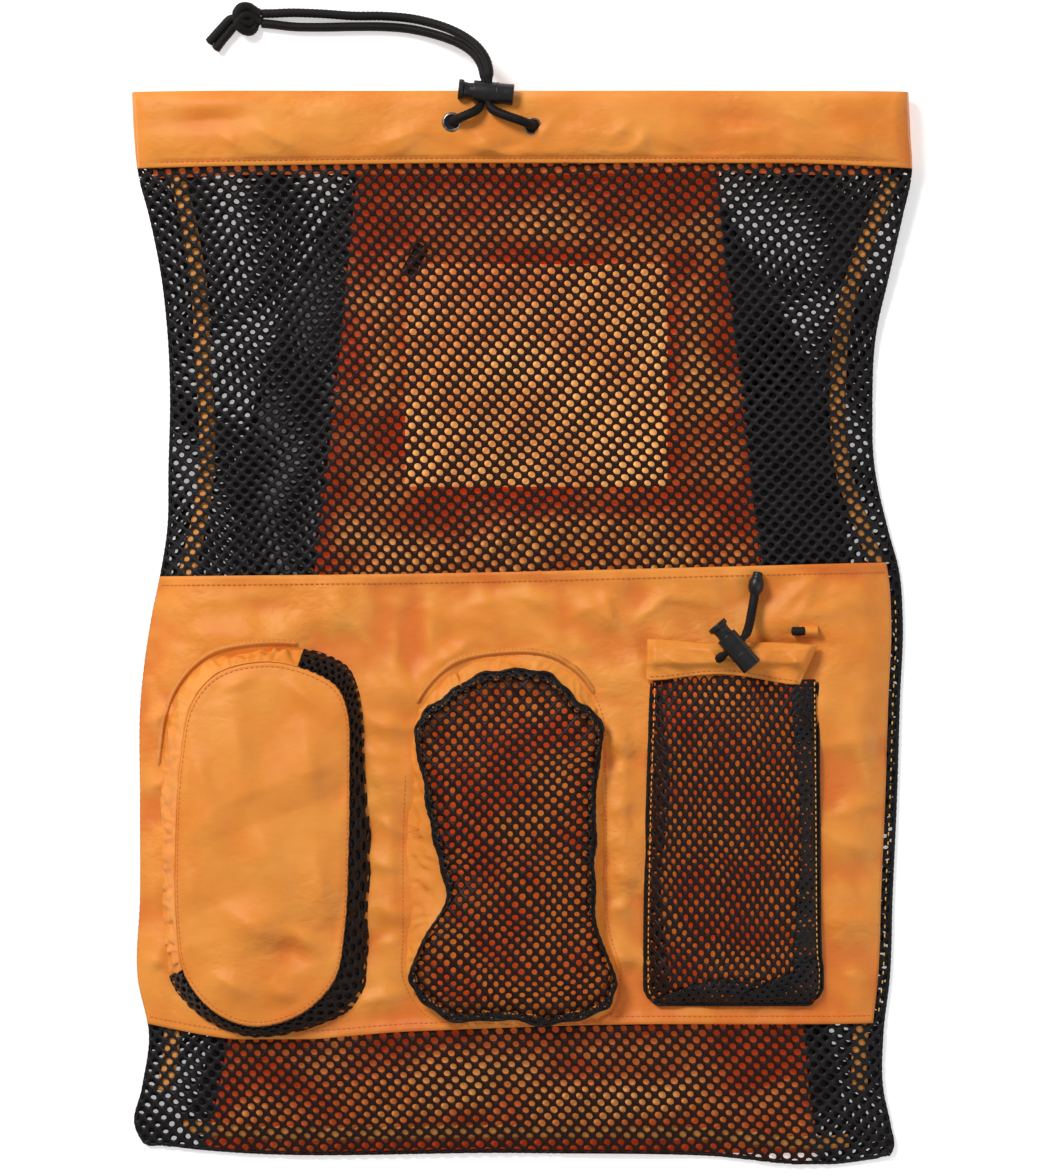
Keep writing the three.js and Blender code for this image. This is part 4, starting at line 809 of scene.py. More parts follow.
def knit_net(name, reach, keep, place, pitch=PITCH, row=ROW, hole=(2.1, 1.9), yarn=0.5,
             orange_light_behind=None, leave_out=None):
    (s0, s1), (t0, t1) = reach
    i, j = np.meshgrid(
        np.arange(math.floor(s0 / pitch) - 1, math.ceil(s1 / pitch) + 2),
        np.arange(math.floor(t0 / row) - 1, math.ceil(t1 / row) + 2), indexing="ij")
    cx, cy = (4 * i + 2 * (j % 2)).ravel(), (2 * j).ravel()
    chosen = keep(cx * pitch / 4, cy * row / 2)
    cx, cy = cx[chosen], cy[chosen]
    ring_x, ring_y = cx[:, None] + CELL_RING[:, 0], cy[:, None] + CELL_RING[:, 1]
    keys, index = np.unique(np.stack([ring_x.ravel(), ring_y.ravel()], -1), axis=0, return_inverse=True)
    index = index.reshape(-1, 8)
    edge_s, edge_t = keys[:, 0] * pitch / 4, keys[:, 1] * row / 2
    angles = np.arange(8) * np.pi / 4
    uneven = 1 + 0.08 * np.sin(cx * 12.9898 + cy * 78.233)[:, None]
    hole_s = cx[:, None] * pitch / 4 + hole[0] * uneven * np.cos(angles)
    hole_t = cy[:, None] * row / 2 + hole[1] * uneven * np.sin(angles)
    upper = np.stack(place(edge_s, edge_t, np.full(len(edge_s), yarn)), -1)
    lower = np.stack(place(edge_s, edge_t, np.full(len(edge_s), -yarn)), -1)
    rims = [np.stack(place(hole_s.ravel(), hole_t.ravel(), np.full(hole_s.size, side * 0.6 * yarn)), -1)
            for side in (1, -1)]
    count = len(keys)
    over = 2 * count + np.arange(len(cx) * 8).reshape(-1, 8)
    under = over + len(cx) * 8
    nxt = np.roll(np.arange(8), -1)
    top = np.stack([index, index[:, nxt], over[:, nxt], over], -1).reshape(-1, 4)
    low = np.stack([index[:, nxt] + count, index + count, under, under[:, nxt]], -1).reshape(-1, 4)
    wall = np.stack([over, over[:, nxt], under[:, nxt], under], -1).reshape(-1, 4)
    parts = {"top": top, "low": low, "wall": wall}
    faces = np.vstack([part for key, part in parts.items() if key != leave_out])
    piece = cloth_object(name, np.vstack([upper, lower, *rims]), faces)
    if orange_light_behind is not None:
        x, y, _ = spots_of(piece)
        shaded(piece, orange_light_behind(x, y))
    print(name, len(cx), "holes")
    return piece


def level(value):
    return lambda x, y: value + 0 * x


def bounded(low, high, left, right, height, warp=None, slack=2.0):
    def shift(s, t):
        return warp(s, t) if warp else (s, t)

    def keep(s, t):
        x, y = shift(s, t)
        inside = (x > left(y) - slack) & (x < right(y) + slack)
        return inside & (y > low(x, y) - 0.5 * slack) & (y < high(x, y) + 0.5 * slack)

    def place(s, t, lift):
        x, y = shift(s, t)
        y = np.clip(y, low(x, y), high(x, y))
        x = np.clip(x, left(y), right(y))
        return x, y, height(x, y) + lift

    return keep, place


# %% [markdown]
# Slack makes the net wander: its rows bow a little and its layer rises and falls in low swells. The same
# swells are used for the height of the cloth, so that rows bend where the cloth does.

# %% the two net layers
front_swell = cloth_noise(3, 46.0)
front_drift = cloth_noise(5, 74.0)
row_bow = cloth_noise(8, 95.0)
net_folds = fold_field([
    (-190, 40, -120, 190, 14, 1.8), (-170, 60, -60, 120, 16, 1.4), (-205, 180, -130, 240, 12, 1.6),
    (110, 60, 185, 190, 16, 1.8), (150, 240, 195, 130, 12, 1.6), (-60, 50, 60, 66, 12, 1.0),
    (-90, 230, 90, 210, 18, 1.2), (60, 90, 120, 200, 14, 1.2),
])


def net_height(x, y):
    near_seam = smooth(side_distance(x, y) / 40)
    swell = 1.0 * front_swell(x, y) + 0.8 * front_drift(x, y) + net_folds(x, y)
    return front_under(x, y) + 0.6 + swell * near_seam * 0.8


def bowed(s, t):
    return s + 2.2 * front_drift(t, s) - 0.15 * t, t + 3.0 * row_bow(s, t) + 0.035 * s


def over_orange(x, y):
    return smooth((x - back_left(y) - 2) / 6) * smooth((back_right(y) - x - 2) / 6)


def back_left(y):
    return HALF_WIDTH * back_left_share(y / HALF_LENGTH)


def back_right(y):
    return HALF_WIDTH * back_right_share(y / HALF_LENGTH)


def hem_y(x, y):
    return seam_at(hem_share, x, y)


def head_y(x, y):
    return seam_at(head_share, x, y)


def foot_y(x, y):
    return seam_at(foot_share, x, y)


def bottom_y(x, y):
    return seam_at(bottom_share, x, y)


upper_keep, upper_place = bounded(
    lambda x, y: head_y(x, y) - 3.0, lambda x, y: hem_y(x, y) + 2.0, left_edge, right_edge, net_height, bowed)
net_upper = knit_net("net_upper", ((-240, 285), (12, 292)), upper_keep, upper_place, orange_light_behind=over_orange)
dress(net_upper, KNIT, "knit", "front_net_upper")

lower_keep, lower_place = bounded(
    bottom_y, lambda x, y: foot_y(x, y) + 1.5, left_edge, right_edge, net_height, bowed)
net_lower = knit_net("net_lower", ((-290, 215), (-335, -205)), lower_keep, lower_place, orange_light_behind=over_orange)
dress(net_lower, KNIT, "knit", "front_net_lower")

side_keep, side_place = bounded(
    lambda x, y: foot_y(x, y) - 1, lambda x, y: head_y(x, y) + 1,
    lambda y: left_edge(y) + 0.978 * (right_edge(y) - left_edge(y)), right_edge,
    lambda x, y: net_height(x, y) - 0.9, bowed)
net_side = knit_net("net_side_strip", ((150, 245), (-256, 52)), side_keep, side_place)
dress(net_side, KNIT, "knit", "side_net_right")


# %% [markdown]
# Behind lies the second layer: net at both sides of a nylon panel. It has slipped and turned a little
# against the front. Two lattices that differ by a small turn line up in patches, so the white table
# sparkles through in slanting bands, and between them the strands of one net close the holes of the other.

# %% back nets
back_swell = cloth_noise(21, 52.0)


def back_net_height(x, y):
    loose = smooth(side_distance(x, y) / 30) * smooth(foot_distance(x, y) / 30)
    return back_under(x, y) + 0.65 + (0.9 + 0.9 * back_swell(x, y)) * loose


BACK_TURN = 0.17


def bowed_back(s, t):
    cosine, sine = math.cos(BACK_TURN), math.sin(BACK_TURN)
    x, y = s * cosine - t * sine, s * sine + t * cosine
    return x + 3.0 * back_swell(t, s), y + 3.5 * back_swell(s + 90, t)


back_keep, back_place = bounded(
    bottom_y, lambda x, y: hem_y(x, y) + 2.0, left_edge, lambda y: back_left(y) + 2.0,
    back_net_height, bowed_back)
net_back_left = knit_net(
    "net_back_left", ((-300, -20), (-312, 325)), back_keep, back_place, hole=(1.68, 1.43), leave_out="wall")
dress(net_back_left, KNIT, "knit", "back_net_left")
back_keep, back_place = bounded(
    bottom_y, lambda x, y: hem_y(x, y) + 2.0, lambda y: back_right(y) - 2.0, right_edge,
    back_net_height, bowed_back)
net_back_right = knit_net(
    "net_back_right", ((35, 295), (-370, 272)), back_keep, back_place, hole=(1.52, 1.3), leave_out="wall")
dress(net_back_right, KNIT, "knit", "back_net_right")

# %% [markdown]
# At the sides and the bottom the two layers meet in a turned seam, which shows as a dark rounded edge.
# A thin tube along the outline stands for that roll of doubled net.

# %% seam roll
def edge_roll(name, points, radius=1.15):
    piece, _ = swept(name, points, radius, sides=10, step=1.6, braid=0.1, bundles=3, lay=4.1)
    return dress(piece, KNIT, "knit")


def side_roll(edge, inward):
    points = []
    for y in np.linspace(-300, 262, 150):
        x = float(edge(y)) + inward
        points.append((x, float(y), 1.6 + smooth((y - 130) / 60) * max(0.0, float(net_height(x, y)) - 2.6)))
    return points


left_points, right_points = side_roll(left_edge, 1.0), side_roll(right_edge, -1.0)
print("seam rolls rise to", round(left_points[-1][2], 1), round(right_points[-1][2], 1), "mm at the mouth")
xs = np.linspace(-208, 207, 110)
bottom_points = [(float(x), float(seam_at(bottom_share, x, -305.0)) + 1.0, 1.6) for x in xs]
edge_roll("seam_roll_left", left_points)
edge_roll("seam_roll_right", right_points)
edge_roll("seam_roll_bottom", [left_points[0], *bottom_points, right_points[0]])

# %% [markdown]
# The back panel is loose nylon that creases under the bag's own weight. One sees it only through the
# front net, where its folds turn towards the light or away from it, so they are drawn high and crisp.

# %% back panel
back_folds = fold_field([
    (-150, -60, 60, 70, 16, 4.2), (-60, -40, 120, 40, 12, 3.6), (-120, 40, -20, 120, 11, 3.0),
    (70, 60, 130, -30, 12, 3.6), (-90, 90, -70, 240, 9, 2.6), (96, 90, 104, 240, 9, 2.8),
    (-70, 236, 90, 222, 10, 2.4), (-100, 10, 40, 20, 10, 2.8), (20, 20, 110, 80, 10, 3.0),
    (-150, -280, 40, -240, 12, 3.0), (-60, -300, 150, -250, 12, 3.0), (-20, -255, 90, -290, 10, 2.2),
    (-95, 200, -40, 226, 8, 2.2), (-130, -10, -60, 60, 9, 2.6), (90, 200, 60, 236, 8, 2.0),
    (-120, 30, 80, 66, 7, 3.4), (-40, 60, 116, 58, 7, 3.0), (-150, -296, 30, -262, 8, 3.2),
    (30, -286, 140, -270, 7, 2.8),
], 1.3)
back_crease = crumple(31, 22.0, 0.5)
back_unrest = crumple(33, 48.0, -0.4)
BACK_TOP_Y = 268.0
PATCH_X, PATCH_Y, PATCH_WIDTH, PATCH_LENGTH = 8.3, 147, 152, 129


def back_panel_height(x, y):
    edges = np.minimum(x - back_left(y), back_right(y) - x)
    loose = smooth(edges / 14) * smooth(foot_distance(x, y) / 30) * smooth((266 - y) / 20)
    folds = np.clip(back_folds(x, y), 0, 4.8) + 1.6 * np.abs(back_unrest(x, y)) + 0.9 * np.abs(back_crease(x, y))
    roof = front_under(x, y) - back_top(x, y) - 1.2
    return back_top(x, y) + np.minimum(folds * loose, np.maximum(roof, 0.0))


def back_panel_place(u, v):
    y = bottom_y(0.0, -300.0) + v * (BACK_TOP_Y - bottom_y(0.0, -300.0))
    x = back_left(y) + u * (back_right(y) - back_left(y))
    y = np.maximum(y, bottom_y(x, y) + 0.6)
    return x, y, back_panel_height(x, y)


def back_shade(x, y, z):
    raised = z - back_top(x, y)
    under_hem = np.exp(-np.maximum(hem_y(x, y) - y, 0) / 14.0)
    beside = np.maximum(np.abs(x - PATCH_X) - PATCH_WIDTH / 2, 0)
    beyond = np.maximum(np.abs(y - PATCH_Y) - PATCH_LENGTH / 2, 0)
    around_patch = np.exp(-(beside ** 2 + beyond ** 2) / 200.0)
    return 1.10 - 0.34 * raised + 0.42 * back_crease(x, y) + 0.25 * under_hem + 0.2 * around_patch


back_panel = woven_sheet("nylon_back_panel", 104, 156, back_panel_place, 0.5, back_shade)
dress(back_panel, NYLON_BACK, "nylon", "back_panel")


def hem_allowance_place(u, v):
    x = -214 + 428 * u
    y = hem_y(x, 266.0) - 5.6 + 7.0 * v + 0.8 * front_swell(x, 266.0)
    return x, y, net_height(x, y) - 1.5


# painted shade: the hem allowance is painted three quarters of the way to the deep red shade colour, as it lies in
# shade under the net below the casing
hem_allowance = woven_sheet(
    "casing_hem_allowance", 160, 4, hem_allowance_place, 0.4, lambda x, y, z: 0.75 + 0 * x)
dress(hem_allowance, NYLON_BACK, "nylon")


def patch_place(u, v):
    x = PATCH_X + PATCH_WIDTH * (u - 0.5)
    y = PATCH_Y + PATCH_LENGTH * (v - 0.5)
    curl = 0.35 * front_swell(x, y) + 0.25 * np.abs(back_crease(x, y))
    return x, y, np.minimum(12.6 + curl + 0.6 * front_drift(x, y), net_height(x, y) - 1.3)


def patch_shade(x, y, z):
    return 0.06 + 0.42 * smooth((y - 150) / 55) + 0.35 * back_unrest(x, y) + 0.25 * back_crease(x, y)


patch = woven_sheet("bare_patch", 64, 54, patch_place, 0.6, patch_shade)
dress(patch, PATCH, "patch", "back_patch")

# %% [markdown]
# The side seams and the bottom seam are bound inside with a folded orange tape, stitched in a lighter
# thread. Through the net one sees the tape wander, because the seam isn't pressed flat.

# %% bindings
def tape_strip(name, middle, width, height, node, rows=200):
    def place(u, v):
        x, y = middle(v)
        side = (u - 0.5) * width
        dome = 0.5 * (1 - (2 * u - 1) ** 2)
        dx, dy = np.gradient(x), np.gradient(y)
        run = np.hypot(dx, dy)
        x, y = x - dy / run * side, y + dx / run * side
        return x, y, height(x, y) + dome

    u, v = np.meshgrid(np.linspace(0, 1, 7), np.linspace(0, 1, rows + 1), indexing="xy")
    columns = [place(u[:, k], v[:, k]) for k in range(7)]
    points = np.stack([np.stack(column, -1) for column in columns], 1).reshape(-1, 3)
    piece = cloth_object(name, points, grid_faces(6, rows))
    thicken(piece, 0.8)
    return dress(piece, TAPE, "binding", node)


inset_left = curve_of([0.85, 0.66, 0.5, 0.3, 0.15, -0.1, -0.92], [0.1, 0.095, 0.09, 0.1, 0.075, 0.06, 0.06])
inset_right = curve_of([0.85, 0.66, 0.5, 0.3, 0.15, -0.1, -0.92], [0.05, 0.09, 0.092, 0.085, 0.06, 0.06, 0.06])
bind_low, bind_high = float(seam_at(bottom_share, 0.0, -300.0)) + 36, 263.0


def left_tape(v):
    y = bind_low + v * (bind_high - bind_low)
    return left_edge(y) + HALF_WIDTH * inset_left(y / HALF_LENGTH), y


def right_tape(v):
    y = bind_low + v * (bind_high - bind_low)
    return right_edge(y) - HALF_WIDTH * inset_right(y / HALF_LENGTH), y


def bottom_tape(v):
    x = -197 + v * 387
    return x, seam_at(bottom_share, x, -305.0) + 13.0


def tape_height(x, y):
    return np.minimum(back_top(x, y) + 2.6 + 0.8 * front_swell(x, y), net_height(x, y) - 2.4)


tape_strip("tape_left", left_tape, 9.0, tape_height, "binding_left")
tape_strip("tape_right", right_tape, 9.0, tape_height, "binding_right")
tape_strip("tape_bottom", bottom_tape, 8.0, tape_height, "binding_bottom", 160)
print("inside pieces laid")

# %% [markdown]
# A row of machine stitches is a row of short, plump lengths of thread, each sunk a little into the cloth
# at its ends. One spindle is made and then laid along a line as often as the stitch length asks.

# %% stitches
def stitch_row(name, line, material=None, pitch=3.0, length=2.1, width=0.34, sink=0.1):
    path, travel = even_path(line, pitch)
    middles = 0.5 * (path[1:] + path[:-1])
    ways = path[1:] - path[:-1]
    ways /= np.linalg.norm(ways, axis=1)[:, None]
    sides = np.cross((0.0, 0.0, 1.0), ways)
    sides /= np.linalg.norm(sides, axis=1)[:, None]
    ups = np.cross(ways, sides)
    stations = np.array([(-0.5, 0.25), (-0.36, 0.85), (0.0, 1.0), (0.36, 0.85), (0.5, 0.25)])
    angles = np.arange(6) * np.pi / 3
    local = np.array([
        (a * length, np.cos(t) * r * width, np.sin(t) * r * width) for a, r in stations for t in angles])
    points = (middles[:, None] + local[:, 0, None] * ways[:, None] + local[:, 1, None] * sides[:, None]
              + (local[:, 2, None] - sink) * ups[:, None])
    faces = grid_faces(6, 4, wraps=True)
    all_faces = (faces[None] + 30 * np.arange(len(middles))[:, None, None]).reshape(-1, 4)
    piece = cloth_object(name, points.reshape(-1, 3), all_faces)
    return dress(piece, material or PALE_THREAD, "binding")


def on_cloth(points, height, lift=0.25):
    xy = np.array([(p[0], p[1]) for p in points], float)
    return np.column_stack([xy, height(xy[:, 0], xy[:, 1]) + lift])


ys = np.linspace(-224.0, 18.0, 90)
side_line = [(float(right_edge(y)) - 4.2, float(y)) for y in ys]
stitch_row("stitches_side_seam", on_cloth(side_line, net_height, 0.7), PALE_THREAD, 5.4, 2.2, 0.4)

# %% [markdown]
# The nylon panel across the front hangs from its top hem and carries the pockets. Its folds run down from
# the pockets' upper corners and across below the hem. The hems are doubled cloth, a little thicker.

# %% pocket panel
panel_folds = fold_field([
    (-62.7, 28, -63.5, -34, 4.5, -3.6), (-72, 26, -74, -40, 6, 1.6), (-53, 24, -53, -32, 6, 1.6),
    (-204, -2, -118, -8, 11, 3.4), (-200, 14, -130, 22, 10, 1.8), (-117, 28, -96, -8, 6, 2.2),
    (-104, 18, -84, -16, 5, 1.8), (-62, -30, -22, -2, 5, 2.4), (-58, -38, -34, -18, 4, 1.4),
    (30, 20, 68, -8, 6, 2.6), (46, 26, 56, -4, 5, 2.0), (20, 4, 62, 22, 6, 1.6), (-16, 22, 26, 12, 7, 1.6),
    (-40, 12, 0, 20, 6, 1.4), (60, 0, 92, 26, 6, 2.2), (70, 24, 108, 12, 7, 2.0), (100, 26, 124, 6, 5, 1.6),
    (142, 6, 174, 34, 5, 2.2), (146, 4, 194, 14, 5, 2.0), (158, 0, 170, 30, 4, 1.8), (176, 26, 206, 6, 7, 1.8),
    (-92, -52, -60, -60, 5, 2.0), (-94, -70, -66, -76, 4, 1.4), (-94, -82, -66, -88, 5, 2.0),
    (-90, -106, -64, -122, 5, 2.2), (-90, -134, -68, -140, 4, 1.6), (-88, -158, -62, -170, 5, 2.0),
    (-86, -184, -66, -178, 5, 1.6), (-78, -60, -74, -196, 5, 1.6),
    (-222, -56, -199, -46, 4, 2.4), (-222, -94, -205, -88, 3.5, 2.0), (-220, -190, -207, -196, 4, 2.0),
    (-218, -20, -204, -80, 6, 1.8), (-219, -110, -210, -180, 5, 1.4), (-216, 24, -190, 4, 7, 1.6),
    (-108, -220, -64, -209, 5, 2.2), (-60, -222, -20, -212, 5, 1.2), (20, -222, 60, -214, 5, 1.4),
    (43, -60, 68, -73, 5, 2.2), (46, -84, 68, -80, 4, 1.4), (46, -109, 66, -98, 5, 2.0),
    (48, -136, 68, -147, 5, 2.2), (48, -164, 66, -158, 4, 1.6), (50, -186, 66, -196, 5, 2.0),
    (58, -20, 60, -210, 5, 1.4), (72, -223, 170, -221, 4, 1.2),
    (172, -68, 214, -62, 7, 1.8), (172, -110, 214, -98, 8, 2.2), (174, -120, 212, -132, 6, 1.8),
    (172, -170, 212, -168, 7, 1.6), (176, -196, 210, -206, 6, 1.8), (186, -20, 206, -110, 8, 1.6),
], 1.25)
LEFT_POCKET = {"x": -148.5, "y": -123.5, "width": 123.0, "length": 227.4, "rise": 13.0, "dome": 3.0}
MIDDLE_POCKET = {"x": -5.8, "y": -121.8, "width": 124.1, "length": 213.4, "rise": 8.0, "dome": 5.0}
RIGHT = {"x": 121.6, "top": -26.0, "bottom": -218.0, "width": 99.0, "rise": 4.6, "belly": 3.6}
panel_unrest = cloth_noise(41, 30.0)
panel_crumple = crumple(43, 30.0, 0.35)
panel_crease = crumple(44, 13.0, -0.6)


def soft_limit(value, lowest, highest):
    return np.where(value < 0, lowest * np.tanh(value / lowest), highest * np.tanh(value / highest))


def panel_relief(x, y):
    crumples = 3.1 * panel_crumple(x, y) + 1.3 * panel_crease(x, y)
    return soft_limit(2.3 * panel_folds(x, y) + 1.1 * panel_unrest(x, y) + crumples, -2.4, 6.5)


def under_pockets(x, y):
    left = smooth((62 - np.abs(x - LEFT_POCKET["x"])) / 8) * smooth((114 - np.abs(y - LEFT_POCKET["y"])) / 10)
    middle = smooth((60 - np.abs(x - MIDDLE_POCKET["x"])) / 8)
    middle = middle * smooth((106 - np.abs(y - MIDDLE_POCKET["y"])) / 10)
    right = smooth((54 - np.abs(x - RIGHT["x"])) / 6) * smooth((102 - np.abs(y + 116)) / 8)
    return np.maximum(np.maximum(left, middle), right)


def panel_height(x, y):
    calm = smooth(side_distance(x, y) / 14) * (1 - 0.72 * under_pockets(x, y))
    head, foot = head_y(x, y) - y, y - foot_y(x, y)
    hem = 0.6 * (smooth((6.4 - head) / 1.0) + smooth((5.6 - foot) / 1.0))
    inside = np.minimum(head, foot)
    pucker = 0.9 * np.exp(-inside / 8.0) * np.abs(np.sin(x / 4.1 + 2.4 * panel_unrest(x, y)))
    flat = smooth(inside / 9.0)
    edge_lift = 0.9 * np.exp(-inside / 5.0)
    relief = panel_relief(x, y) * (0.1 + 0.9 * flat) + hem + pucker * flat
    return front_under(x, y) + 1.6 + edge_lift + relief * (0.3 + 0.7 * calm)


def panel_place(u, v):
    y = HALF_LENGTH * (foot_share(u) + v * (head_share(u) - foot_share(u)))
    x = left_edge(y) + 0.984 * u * (right_edge(y) - left_edge(y))
    return x, y, panel_height(x, y)


def hollow_shade(x, y, z):
    return 0.44 * smooth((0.9 - panel_relief(x, y)) / 3.4)


panel = woven_sheet("nylon_pocket_panel", 208, 132, panel_place, 0.5, hollow_shade)
dress(panel, NYLON, "nylon", "pocket_panel")
along = np.linspace(0.004, 0.98, 120)
for name, share, drop in (("panel_head", head_share, -5.2), ("panel_foot", foot_share, 4.6)):
    line = [(float(left_edge(y) + u * (right_edge(y) - left_edge(y))), float(y)) for u in along
            for y in [HALF_LENGTH * float(share(u)) + drop]]
    stitch_row(f"stitches_{name}", on_cloth(line, panel_height, 0.2), THREAD)

# %% [markdown]
# The casing round the mouth is a flat tube of nylon, fuller in its middle where the cord runs. It is made
# as a ring of sections, like the solid, with shallow folds and the puckers that a drawn hem always has.

# %% casing
CASING, CASING_FOOT_Y = 8.0, 269.8
casing_full = curve_of([0, 0.07, 0.22, 0.41, 0.76, 0.9, 1], [0.4, 0.56, 0.8, 1.0, 1.0, 0.84, 0.4])
STRAIGHT_END = HALF_WIDTH - CASING - 1.0
band_unrest = cloth_noise(51, 34.0)
band_crumple = crumple(53, 26.0, 0.2)
band_folds = fold_field([
    (-214, 293, -146, 296, 6, -1.8), (-210, 302, -150, 303, 5, 1.2), (-178, 289, -156, 273, 4, 1.6),
    (-160, 294, -130, 276, 4, 1.8), (-146, 286, -122, 274, 3.5, 1.2), (-222, 290, -208, 272, 4, 1.4),
    (-90, 277, -50, 291, 5, 2.2), (-76, 274, -58, 284, 4, 1.2), (-40, 282, -4, 273, 4, 2.2),
    (-30, 288, -12, 274, 3.5, 1.8), (-22, 276, 8, 282, 4, -1.6), (4, 278, 24, 300, 4, 1.6),
    (24, 292, 60, 286, 6, 1.0), (48, 280, 66, 296, 4, 1.4), (58, 272, 76, 288, 4, 1.6), (66, 290, 74, 272, 3, 1.2),
    (98, 296, 156, 292, 6, -2.0), (112, 287, 150, 288, 6, 1.6), (76, 286, 104, 274, 5, 1.4),
    (146, 300, 178, 290, 5, 1.4), (150, 286, 166, 276, 4, 1.2), (176, 284, 206, 278, 5, 1.0),
], 1.5)
BAND_SEAM_X = 217.3


def band_relief(x, y):
    strip = -1.3 * smooth((x - BAND_SEAM_X) / 1.2) - 0.5 * np.exp(-((x - BAND_SEAM_X) / 0.9) ** 2)
    return 1.25 * band_folds(x, y) + 0.9 * band_unrest(x, y) + 1.3 * band_crumple(x, y) + strip


def casing_ring(count=280, turn=8):
    path = []
    for k in range(count + 1):
        x = -STRAIGHT_END + 2 * STRAIGHT_END * k / count
        room = max(0.0, float(front_under(x, CASING_FOOT_Y) - back_top(x, CASING_FOOT_Y)) - 0.5)
        path.append((x, 9.0 + room))
    path += [(STRAIGHT_END + 0.5 * math.cos(a), 8.5 + 0.5 * math.sin(a))
             for a in np.linspace(np.pi / 2, -np.pi / 2, turn + 1)[1:-1]]
    path += [(x, 8.0) for x in np.linspace(STRAIGHT_END, -STRAIGHT_END, count // 2 + 1)]
    path += [(-STRAIGHT_END + 0.5 * math.cos(a), 8.5 + 0.5 * math.sin(a))
             for a in np.linspace(1.5 * np.pi, 0.5 * np.pi, turn + 1)[1:-1]]
    return np.array(path)


ring = casing_ring()
ring_run = np.roll(ring, -1, 0) - np.roll(ring, 1, 0)
ring_run /= np.linalg.norm(ring_run, axis=1)[:, None]
ring_out = np.stack([-ring_run[:, 1], ring_run[:, 0]], -1)


def casing_point(out, share):
    spot = ring + ring_out * out
    reach = STRAIGHT_END + 0.5 + max(2.4, CASING * float(casing_full(share)))
    across = np.clip((spot[:, 0] / reach + 1) / 2, 0, 1)
    y = HALF_LENGTH * hem_share(across) * (1 - share) + HALF_LENGTH * share
    x = left_edge(y) + across * (right_edge(y) - left_edge(y))
    front = smooth(ring_out[:, 1]) * smooth((STRAIGHT_END - np.abs(ring[:, 0])) / 14)
    unrest = band_relief(x, y) * smooth((share - 0.03) / 0.14)
    pucker = 0.9 * math.exp(-share / 0.2) * np.abs(np.sin(x / 4.3 + 2.2 * band_unrest(x, y)))
    pucker = pucker * smooth((share - 0.05) / 0.08)
    groove = -0.6 * math.exp(-((share - 0.068) / 0.022) ** 2)
    lift = (unrest + pucker + groove) * min(1.0, out / 2.0) * min(1.0, (1.0 - share) / 0.12 + 0.15)
    return x, y, spot[:, 1] + lift * front


levels = np.concatenate([np.linspace(0, 0.16, 12), np.linspace(0.185, 0.86, 26), np.linspace(0.885, 1.0, 8)])
section = [(0.0, 0.0), *[(max(2.4, CASING * float(casing_full(v))), float(v)) for v in levels], (0.0, 0.985)]
rows = [np.stack(casing_point(out, share), -1) for out, share in section]
casing = cloth_object(
    "nylon_casing", np.stack(rows, 0).reshape(-1, 3), grid_faces(len(ring), len(rows) - 1, wraps=True))
dress(casing, NYLON, "nylon", "top_band", "drawcord_in_casing")
casing_x, casing_y, _ = spots_of(casing)
shaded(casing, 0.24 * smooth((0.4 - band_relief(casing_x, casing_y)) / 3.0))


def casing_height(x, y):
    share = np.clip((y - hem_y(x, y)) / (HALF_LENGTH - hem_y(x, y)), 0, 1)
    room = np.maximum(0, front_under(x, CASING_FOOT_Y) - back_top(x, CASING_FOOT_Y) - 0.5)
    unrest = band_relief(x, y) * smooth((share - 0.03) / 0.14)
    return 9.0 + room + np.maximum(2.4, CASING * casing_full(share)) + unrest - 0.2


xs = np.linspace(-222, 222, 130)
hem_line = [(x, float(hem_y(x, 270.0)) + 2.9) for x in xs]
stitch_row("stitches_casing", on_cloth(hem_line, casing_height, 0.15), THREAD)
side_seam = [(BAND_SEAM_X - 1.4, y) for y in np.linspace(271.0, 309.0, 30)]
stitch_row("stitches_casing_side", on_cloth(side_seam, casing_height, 0.1), THREAD, 2.4, 1.7, 0.28)

# %% [markdown]
# The two strands leave the casing through eyelets, pressed rings of dark metal. Each is lathed from its
# profile, and a black dish inside the ring is painted shade: it stands for the dark hole behind the cord.

# %% eyelets
def eyelet_ring(name, x, y, node):
    base = np.array([x, y, float(casing_height(x, y)) - 0.2])
    up, across = np.array([0, 0, 1.0]), np.array([1.0, 0, 0])
    ring_piece = turned(name, rounded([
        (4.0, -1.2), (4.0, 0.7), (4.5, 1.15), (5.2, 0.8), (5.75, 0.1), (5.7, -0.5),
    ], 0.5), base, up, across)
    dress(ring_piece, METAL, "eyelet", node)
    # painted shade: a black dish, not a hole, makes the eyelet's bore look dark
    bore_shade_disc = turned(f"{name}_well", [(4.05, 1.0), (3.6, 0.9), (0.02, 0.85)], base, up, across)
    return dress(bore_shade_disc, CORD, "cord")


eyelet_ring("eyelet_ring_left", -40.6, 292.9, "eyelet_left")
eyelet_ring("eyelet_ring_right", 6.4, 290.6, "eyelet_right")
print("casing and eyelets done")

# %% [markdown]
# A dark fastening tab shows through the net near its middle: two short flat ends of tape side by side,
# laid aslant. They sit under the front net, on the back panel.

# %% dark tab
TAB_X, TAB_Y, TAB_HALF_LENGTH, TAB_HALF_WIDTH = -63.5, 215.0, 9.5, 2.3
for name, shift in (("near", 0.0), ("far", 5.4)):
    u, v = np.meshgrid(np.linspace(-1, 1, 9), np.linspace(-1, 1, 25), indexing="xy")
    along_x, along_y = 0.5, 0.866
    x = TAB_X + shift * along_y - 0.4 * shift + TAB_HALF_LENGTH * v * along_x + TAB_HALF_WIDTH * u * along_y
    y = TAB_Y - shift * along_x + TAB_HALF_LENGTH * v * along_y - TAB_HALF_WIDTH * u * along_x
    z = net_height(x, y) - 1.4 - 0.5 * u * u
    tab_end = cloth_object(f"dark_tab_{name}", np.stack([x, y, z], -1).reshape(-1, 3), grid_faces(8, 24))
    thicken(tab_end, 0.8)
    dress(tab_end, STRAP, "webbing")

# %% [markdown]
# A pocket's outline is a closed curve through a short table of places. Each place is given twice: where
# the pocket's face ends, and where its side meets the panel. The same tables make the solids.

